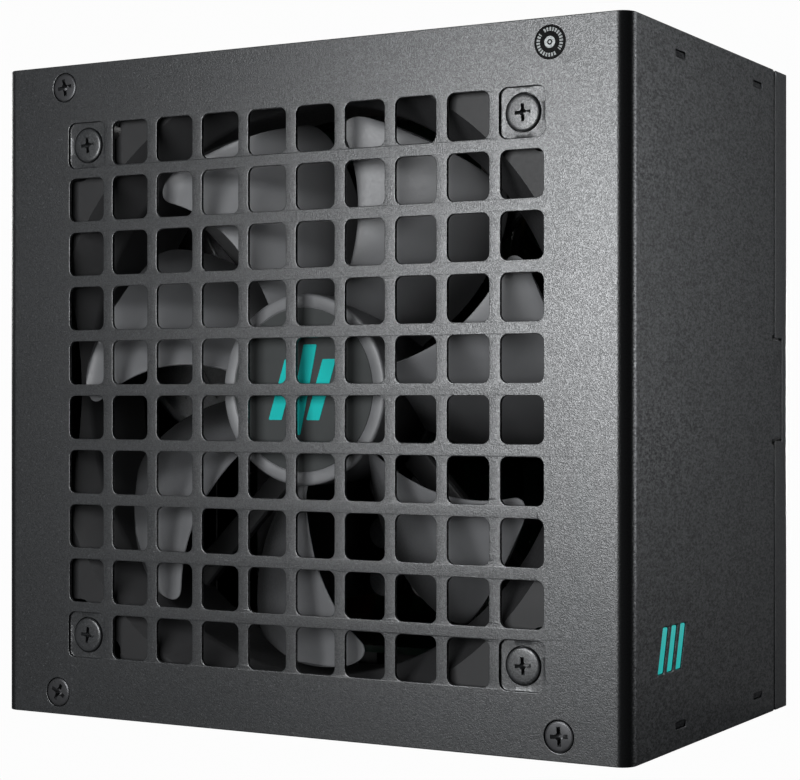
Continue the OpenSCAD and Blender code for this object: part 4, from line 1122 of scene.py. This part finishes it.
def rating_foil():
    """Satin foil with a ruled table and bars standing for the print; no lettering."""
    m = Mat("rating_foil")
    _, y, z = m.split()
    y, z = m.mul(y, 1000.0), m.mul(z, 1000.0)  # millimetres
    table_y, table_z, row = (-27.0, 21.0), (62.0, 112.0), 5.0

    def row_phase():
        return m.math("PINGPONG", m.sub(z, table_z[0]), row)

    table = m.between(z, *table_z)
    rows = m.below(m.size(m.sub(row_phase(), 0.0)), 0.13)
    columns = None
    for at in (-27.0, -13.0, -2.0, 9.0, 21.0):
        line = m.between(y, at - 0.14, at + 0.14)
        columns = line if columns is None else m.either(columns, line)
    ruled = m.either(m.mul(rows, m.between(y, *table_y)), m.mul(columns, table))
    ink = m.mul(ruled, m.either(table, 0.0))
    head = m.mul(m.between(z, 114.5, 119.0), m.between(y, -27.0, 4.0))
    # one bar in the middle of each row, repeating every 11 mm
    bars = m.above(m.fract(m.mul(m.add(y, 27.0), 1 / 11.0)), 0.42)
    cells = m.mul(m.mul(m.between(row_phase(), 1.7, 3.3), table),
                  m.mul(m.between(y, -25.5, 19.5), bars))
    # text lines below the table, 0.32 per mm
    lines = m.above(m.fract(m.mul(z, 0.32)), 0.72)
    foot = m.mul(m.mul(m.between(z, 22.0, 56.0), m.between(y, -27.0, 10.0)), lines)
    ink = m.either(m.either(ink, head), m.either(m.mul(cells, 0.7), m.mul(foot, 0.55)))
    brushed = m.noise(scale=1.0, detail=3.0, rough=0.6, src=m.mapping(scale=(1, 30, 1500)))
    foil = m.vary(brushed, (0.40, 0.40, 0.41), (0.50, 0.50, 0.51))
    # the ink is rougher than the foil and not metallic
    return m.set(color=m.mix(ink, foil, (0.03, 0.03, 0.032)),
                 rough=m.add(0.34, m.mul(ink, 0.2)),
                 metal=m.mul(m.sub(1.0, ink), 0.35), spec=0.5,
                 normal=m.bump(m.noise(scale=700), strength=0.08, dist=0.00003))


def rating_label_bm():
    bm = bmesh.new()
    loft(bm, [[(x, y, z) for y, z in rounded_rect(-3, 70, 56 - d, 104 - d, 2, 6)]
              for x, d in ((-HALF_W, 0), (-HALF_W - 0.08, 0), (-HALF_W - 0.12, 0.1))])
    return bm


SEAL_PROFILE = [(0, -0.14), (3.1, -0.14), (3.24, -0.12), (3.3, -0.06), (3.3, 0.0), (0, 0.0)]
add_mesh("seal_film_disc", lathe_bm(SEAL_PROFILE, 72, (CSK_X_TOP, FRONT_Y, CSK_Z_TOP)),
         seal_film(), "root", "seal_sticker")
GLOWING_TEAL_INLAY = moulded("teal_inlay_painted_glow", (0.014, 0.50, 0.465), rough=0.45, grain=0.10, scale=2200,
                     spec=0.4)
# painted light: the inlay glows a little, so that it reads bright teal though it sits in the shade
# of the slits
GLOWING_TEAL_INLAY.set(emit=(0.010, 0.42, 0.39), emit_s=0.55)
add_mesh("side_badge_plate", badge_bm(), GLOWING_TEAL_INLAY, "root", "side_badge")
add_mesh("rating_foil_sheet", rating_label_bm(), rating_foil(), "root",
         "rating_label")

# ---------------------------------------------------------------------------
# finishes of the CAD nodes that are shown as they are
# ---------------------------------------------------------------------------
def dress(mat, *names):
    for name in names:
        materials = NODES[name].data.materials
        materials.clear()
        materials.append(mat.material)


def wire(name, color, stripe=None):
    """PVC insulation: soft sheen, slight scuffing, an optional second colour round it."""
    m = Mat(name)
    scuff = m.noise(scale=900)
    tone = m.vary(scuff, shade(color, 0.8), color)
    if stripe:
        x, _, z = m.split()
        # slanted bands every 5.2 mm, 40 % of them in the second colour
        phase = m.fract(m.math("DIVIDE", m.add(z, m.mul(x, 1.7)), 0.0052))
        tone = m.mix(m.below(phase, 0.4), tone, stripe)
    return m.set(color=tone, rough=m.vary(scuff, 0.42, 0.55), spec=0.45,
                 normal=m.bump(scuff, strength=0.12, dist=0.00003))


def capacitor(name, color):
    """Shrink sleeve round the can, bare aluminium on its top (facing -Y)."""
    m = Mat(name)
    normal_x, normal_y, _ = m.true_normal()
    top = m.below(normal_y, -0.8)
    grain = m.noise(scale=1200)
    sleeve = m.vary(grain, shade(color, 0.8), color)
    # dashed marking down the +X flank
    dashes = m.above(m.fract(m.mul(m.split()[1], 260.0)), 0.35)
    mark = m.mul(m.above(normal_x, 0.82), dashes)
    sleeve = m.mix(m.mul(mark, 0.6), sleeve, (0.30, 0.31, 0.33))
    aluminium = m.vary(m.noise(scale=2200), (0.52, 0.52, 0.53), (0.66, 0.66, 0.67))
    return m.set(color=m.mix(top, sleeve, aluminium), metal=m.mul(top, 0.95),
                 rough=m.add(0.30, m.mul(grain, 0.14)), spec=0.5,
                 normal=m.bump(grain, strength=0.10, dist=0.00003,
                               normal=m.edge_round(0.0004)))


def laminated(name, color):
    """Stack of stamped sheets: fine dark lines between plates."""
    m = Mat(name)
    half_pitch, half_line = 0.00025, 0.00003
    line = m.below(m.math("PINGPONG", m.split()[1], half_pitch), half_line)
    grain = m.noise(scale=1400)
    tone = m.mix(line, m.vary(grain, shade(color, 0.8), color), (0.03, 0.03, 0.03))
    return m.set(color=tone, metal=0.85, rough=m.vary(grain, 0.36, 0.5),
                 normal=m.bump(m.sub(1.0, line), strength=0.3, dist=0.00003))


def wound(name, color):
    """Enamelled copper turns lying side by side."""
    m = Mat(name)
    patches = m.noise(scale=700)
    turns = m.node("ShaderNodeTexWave", {"Scale": 260.0, "Distortion": 0.4, "Vector": m.coords},
                   wave_type="BANDS", bands_direction="DIAGONAL")
    tone = m.mix(m.ramp(patches, [(0.35, 0.0), (0.7, 0.6)]), color, shade(color, 0.55))
    return m.set(color=tone, metal=0.9, rough=0.28, coat=0.5, coat_rough=0.15,
                 normal=m.bump(turns.outputs["Fac"], strength=0.25, dist=0.00006))


def taped(name, color):
    """Polyester tape wound round a bobbin: glossy, with overlapping edges."""
    m = Mat(name)
    layer = m.fract(m.mul(m.split()[1], 210.0))          # 210 layers per metre
    edge = m.below(layer, 0.08)
    wrinkle = m.noise(scale=300, detail=3.0)
    tone = m.mix(edge, m.vary(wrinkle, shade(color, 0.85), color), shade(color, 0.6))
    return m.set(color=tone, rough=0.28, spec=0.5, coat=0.3,
                 normal=m.bump(m.add(layer, wrinkle), strength=0.12, dist=0.00005,
                               normal=m.edge_round(0.0003)))


def fuse_finish():
    """Ceramic tube between two tinned caps."""
    m = Mat("fuse_ceramic")
    tube_z = (0.0372, 0.0488)
    tube = m.between(m.split()[2], *tube_z)
    grain = m.noise(scale=1600)
    ceramic = m.vary(grain, (0.60, 0.58, 0.52), (0.70, 0.68, 0.62))
    return m.set(color=m.mix(tube, (0.60, 0.60, 0.58), ceramic),
                 metal=m.mul(m.sub(1.0, tube), 0.9), rough=m.vary(grain, 0.30, 0.42),
                 normal=m.bump(grain, strength=0.1, dist=0.00003,
                               normal=m.edge_round(0.0002)))


def rocker():
    """Black rocker; the engraved bar and ring of a mains switch are filled with white."""
    m = Mat("rocker_black")
    tilt = radians(12.0)
    axis_z = (HEIGHT + 0.6) * MM
    floor_z, floor_tolerance = 0.0027, 0.00005           # floor of the engraving
    mark_y, bar_half, ring_r, stroke = 0.0049, 0.00185, 0.00165, 0.0003
    x, y, z = m.split()
    dx = m.size(m.sub(x, SWITCH_X * MM))
    dy = m.sub(y, SWITCH_Y * MM)
    dz = m.sub(z, axis_z)
    # y and z in the tilted rocker
    local_y = m.add(m.mul(dy, cos(tilt)), m.mul(dz, sin(tilt)))
    local_z = m.sub(m.mul(dz, cos(tilt)), m.mul(dy, sin(tilt)))
    engraved = m.below(m.size(m.sub(local_z, floor_z)), floor_tolerance)
    bar = m.mul(m.below(m.size(m.sub(local_y, mark_y)), bar_half), m.below(dx, stroke))
    r = m.hypot(m.mul(dx, dx), m.math("POWER", m.add(local_y, mark_y), 2.0))
    ring = m.below(m.size(m.sub(r, ring_r)), stroke)
    ink = m.mul(engraved, m.either(bar, ring))
    grain = m.noise(scale=1900, detail=3.0)
    black = m.vary(grain, (0.012, 0.012, 0.012), (0.018, 0.018, 0.018))
    return m.set(color=m.mix(ink, black, (0.75, 0.75, 0.74)), rough=m.vary(grain, 0.36, 0.46),
                 spec=0.4, normal=m.bump(grain, strength=0.12, dist=0.00003,
                                         normal=m.edge_round(0.0004)))


dress(moulded("insulating_film", (0.009, 0.009, 0.010), rough=0.24, grain=0.05, scale=300),
      "insulating_sheet")
dress(moulded("black_nylon", (0.016, 0.016, 0.017), rough=0.42, grain=0.22, scale=1500,
              edge=0.0003), "inlet_housing", "switch_housing")
dress(moulded("black_socket_nylon", (0.012, 0.012, 0.012), rough=0.46, grain=0.25, scale=1700,
              edge=0.0002), "modular_sockets")
dress(moulded("natural_nylon", (0.55, 0.53, 0.46), rough=0.40, grain=0.15, scale=1500,
              edge=0.0002), "switch_plungers", "fan_connector")
dress(metal("tinned_brass", (0.40, 0.39, 0.35), rough=0.34, edge=0.0002, grain=0.10,
            tint=(0.30, 0.28, 0.24)), "inlet_pins", "socket_pins", "switch_terminals")
dress(metal("copper_alloy", (0.62, 0.32, 0.17), rough=0.30, grain=0.12,
            tint=(0.38, 0.17, 0.09)), "switch_contact_levers", "busbars")
dress(BLACK_ZINC, "inlet_screws", "ground_screw")
dress(rocker(), "switch_rocker")
dress(circuit("solder_mask_green", (0.0045, 0.036, 0.018)), "main_board", "modular_board")
dress(circuit("solder_mask_small", (0.004, 0.030, 0.016)),
      "emi_board", "fan_motor_board", "dc_dc_boards", "controller_board")
dress(wire("black_wire", (0.014, 0.014, 0.014)), "mains_wires", "fan_cable")
dress(wire("earth_wire", (0.030, 0.20, 0.045), stripe=(0.55, 0.45, 0.03)), "ground_wire")
dress(metal("bright_zinc", (0.30, 0.30, 0.31), rough=0.44, grain=0.2,
            tint=(0.20, 0.20, 0.21)), "board_screws")
dress(metal("brass", (0.62, 0.45, 0.20), rough=0.28, grain=0.12, tint=(0.42, 0.29, 0.12)),
      "board_standoffs")
dress(metal("drawn_steel", (0.46, 0.46, 0.47), rough=0.34, grain=0.16),
      "rotor_yoke", "shaft_clip")
dress(moulded("ferrite_grey", (0.030, 0.030, 0.032), rough=0.55, grain=0.35, scale=1300,
              edge=0.0003), "rotor_magnet", "transformer_core", "standby_transformer")
dress(metal("ground_steel", (0.66, 0.66, 0.68), rough=0.16, grain=0.06), "fan_shaft")
dress(metal("sintered_bronze", (0.40, 0.27, 0.13), rough=0.48, grain=0.35), "bearing_sleeve")
dress(laminated("core_plates", (0.36, 0.36, 0.38)), "stator_core")
dress(wound("enamelled_copper", (0.56, 0.24, 0.10)),
      "stator_windings", "pfc_choke_winding", "choke_windings")
dress(capacitor("capacitor_sleeve", (0.012, 0.012, 0.018)),
      "bulk_capacitors", "output_capacitors")
dress(metal("extruded_aluminium", (0.26, 0.26, 0.27), rough=0.52, brush=(2600, 60, 2600),
            grain=0.18), "primary_heatsink", "secondary_heatsink")
dress(moulded("epoxy_black", (0.011, 0.011, 0.011), rough=0.50, grain=0.25, scale=2000,
              edge=0.0002), "primary_transistors", "bridge_rectifier")
dress(moulded("core_coating_green", (0.020, 0.085, 0.045), rough=0.38, grain=0.30, scale=900,
              edge=0.0006), "pfc_choke_core", "choke_cores")
dress(moulded("film_cap_yellow", (0.52, 0.36, 0.03), rough=0.36, grain=0.12, scale=900,
              edge=0.0004), "film_capacitors")
dress(fuse_finish(), "fuse")
dress(taped("winding_tape", (0.42, 0.30, 0.045)), "transformer_winding")

# ---------------------------------------------------------------------------
# floor and world: pale to the camera, dim to the object
# ---------------------------------------------------------------------------
BACKDROP_LEVEL = 0.98


def floor_paper():
    m = Mat("floor_paper")
    grey = (0.08, 0.08, 0.08)
    m.set(color=m.vary(m.noise(scale=3.0), shade(grey, 0.985), grey), rough=0.9, spec=0.0)
    camera_ray = m.node("ShaderNodeLightPath").outputs["Is Camera Ray"]
    glow = m.node("ShaderNodeEmission", {"Color": (1.0, 1.0, 1.0), "Strength": BACKDROP_LEVEL})
    mix = m.node("ShaderNodeMixShader",
                 {0: camera_ray, 1: m.shader.outputs[0], 2: glow.outputs[0]})
    m.feed(m.tree.nodes["Material Output"].inputs["Surface"], mix.outputs[0])
    return m


def add_floor():
    bm = bmesh.new()
    box(bm, (-4000, -4000, -6), (4000, 4000, -0.02), 1.0)
    bmesh.ops.subdivide_edges(bm, edges=bm.edges[:], cuts=3, use_grid_fill=True)
    for v in bm.verts:
        v.co *= MM
    mesh = bpy.data.meshes.new("floor")
    bm.to_mesh(mesh)
    bm.free()
    mesh.materials.append(floor_paper().material)
    floor = bpy.data.objects.new("floor", mesh)
    COLLECTION.objects.link(floor)
    floor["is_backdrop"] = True


def add_world():
    world = bpy.data.worlds.new("studio")
    bpy.context.scene.world = world
    world.use_nodes = True
    nodes, links = world.node_tree.nodes, world.node_tree.links
    ambient = nodes["Background"]
    ambient.inputs["Color"].default_value = (0.5, 0.52, 0.55, 1)
    ambient.inputs["Strength"].default_value = 0.012
    backdrop = nodes.new("ShaderNodeBackground")
    backdrop.inputs["Color"].default_value = (1, 1, 1, 1)
    backdrop.inputs["Strength"].default_value = BACKDROP_LEVEL
    path = nodes.new("ShaderNodeLightPath")
    mix = nodes.new("ShaderNodeMixShader")
    links.new(path.outputs["Is Camera Ray"], mix.inputs[0])
    links.new(ambient.outputs[0], mix.inputs[1])
    links.new(backdrop.outputs[0], mix.inputs[2])
    links.new(mix.outputs[0], nodes["World Output"].inputs["Surface"])


add_floor()
add_world()

# ---------------------------------------------------------------------------
# lights, metres and watts
# ---------------------------------------------------------------------------
def area(name, pos, target, size, power, color=(1, 1, 1), size_y=None):
    light = bpy.data.lights.new(name, "AREA")
    light.energy = power
    light.color = color
    light.shape = "RECTANGLE"
    light.size = size
    light.size_y = size_y or size
    light.spread = radians(180)
    ob = bpy.data.objects.new(name, light)
    COLLECTION.objects.link(ob)
    ob.location = pos
    ob.rotation_euler = (Vector(target) - Vector(pos)).to_track_quat("-Z", "Y").to_euler()
    return ob


def receivers(light, names, state):
    """Light linking: include or exclude the named pieces."""
    group = bpy.data.collections.new(light.name + "_receivers")
    for name in names:
        group.objects.link(bpy.data.objects[name])
    light.light_linking.receiver_collection = group
    for member in group.collection_objects:
        member.light_linking.link_state = state


FACE = (0, -0.04, 0.07)                   # middle of the grille
COOL, COOL_SIDE = (0.96, 0.98, 1.0), (0.94, 0.97, 1.0)
case_lights = [
    area("key_low", pos=(-0.10, -0.52, 0.08), target=FACE, size=0.16, power=1.10, color=COOL),
    area("key_high", pos=(-0.10, -0.52, 0.17), target=FACE, size=0.16, power=1.66, color=COOL),
    area("side_soft", pos=(0.60, 0.45, 0.25), target=(0.03, 0, 0.07), size=0.30, power=1.15,
         color=COOL_SIDE),
    area("side_low", pos=(0.60, 0.40, -0.02), target=(0.03, 0, 0.05), size=0.30, power=1.75,
         color=COOL_SIDE)]
# a broad softbox reaches the fan through the grille
fan_soft = area("fan_soft", pos=(0.02, -0.56, 0.08), target=FACE, size=0.50, power=7.6,
                color=(0.97, 0.985, 1.0))
# these stay behind the face and side planes, and only light the faces the camera doesn't see
area("left_soft", pos=(-0.75, 0.22, 0.30), target=(-0.07, 0.02, 0.07), size=0.36, power=3.2)
# low and wide, so that the mains end never mirrors it
area("back_soft", pos=(-0.22, 0.80, 0.065), target=(-0.02, 0.04, 0.065), size=0.60, power=6.4,
     size_y=0.12)
area("top_soft", pos=(-0.20, 0.30, 0.70), target=(-0.02, 0.02, 0.14), size=0.40, power=3.0)

FAN_SET = ["fan_impeller_shell", "hub_label_disc", "hub_emblem_bars", "fan_frame_shell"]
OUTSIDE = ("switch_rocker", "switch_housing", "inlet_housing", "inlet_pins", "inlet_screws",
           "modular_sockets")
INSIDE = [o.name for o in NODES.values() if not o.hide_render and o.name not in OUTSIDE]
receivers(fan_soft, FAN_SET, "INCLUDE")
for case_light in case_lights:
    receivers(case_light, FAN_SET + INSIDE, "EXCLUDE")

# ---------------------------------------------------------------------------
# camera: level, in front and to the +X side, framed by lens shift
# ---------------------------------------------------------------------------
camera = bpy.data.cameras.new("cam")
camera_ob = bpy.data.objects.new("cam", camera)
COLLECTION.objects.link(camera_ob)
camera.sensor_fit = "HORIZONTAL"
camera.sensor_width = 36.0
camera.lens = 88.7805
camera.shift_x = -0.127625
camera.shift_y = 0.00975
camera.clip_start = 0.01
camera.clip_end = 20
camera_ob.location = (0.22396, -0.37504, 0.06835)
camera_ob.rotation_euler = (radians(90), 0, radians(27.88))
bpy.context.scene.camera = camera_ob
bpy.context.scene.view_settings.view_transform = "Standard"

{"cad": CAD_BOX, "visual": plain(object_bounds())}
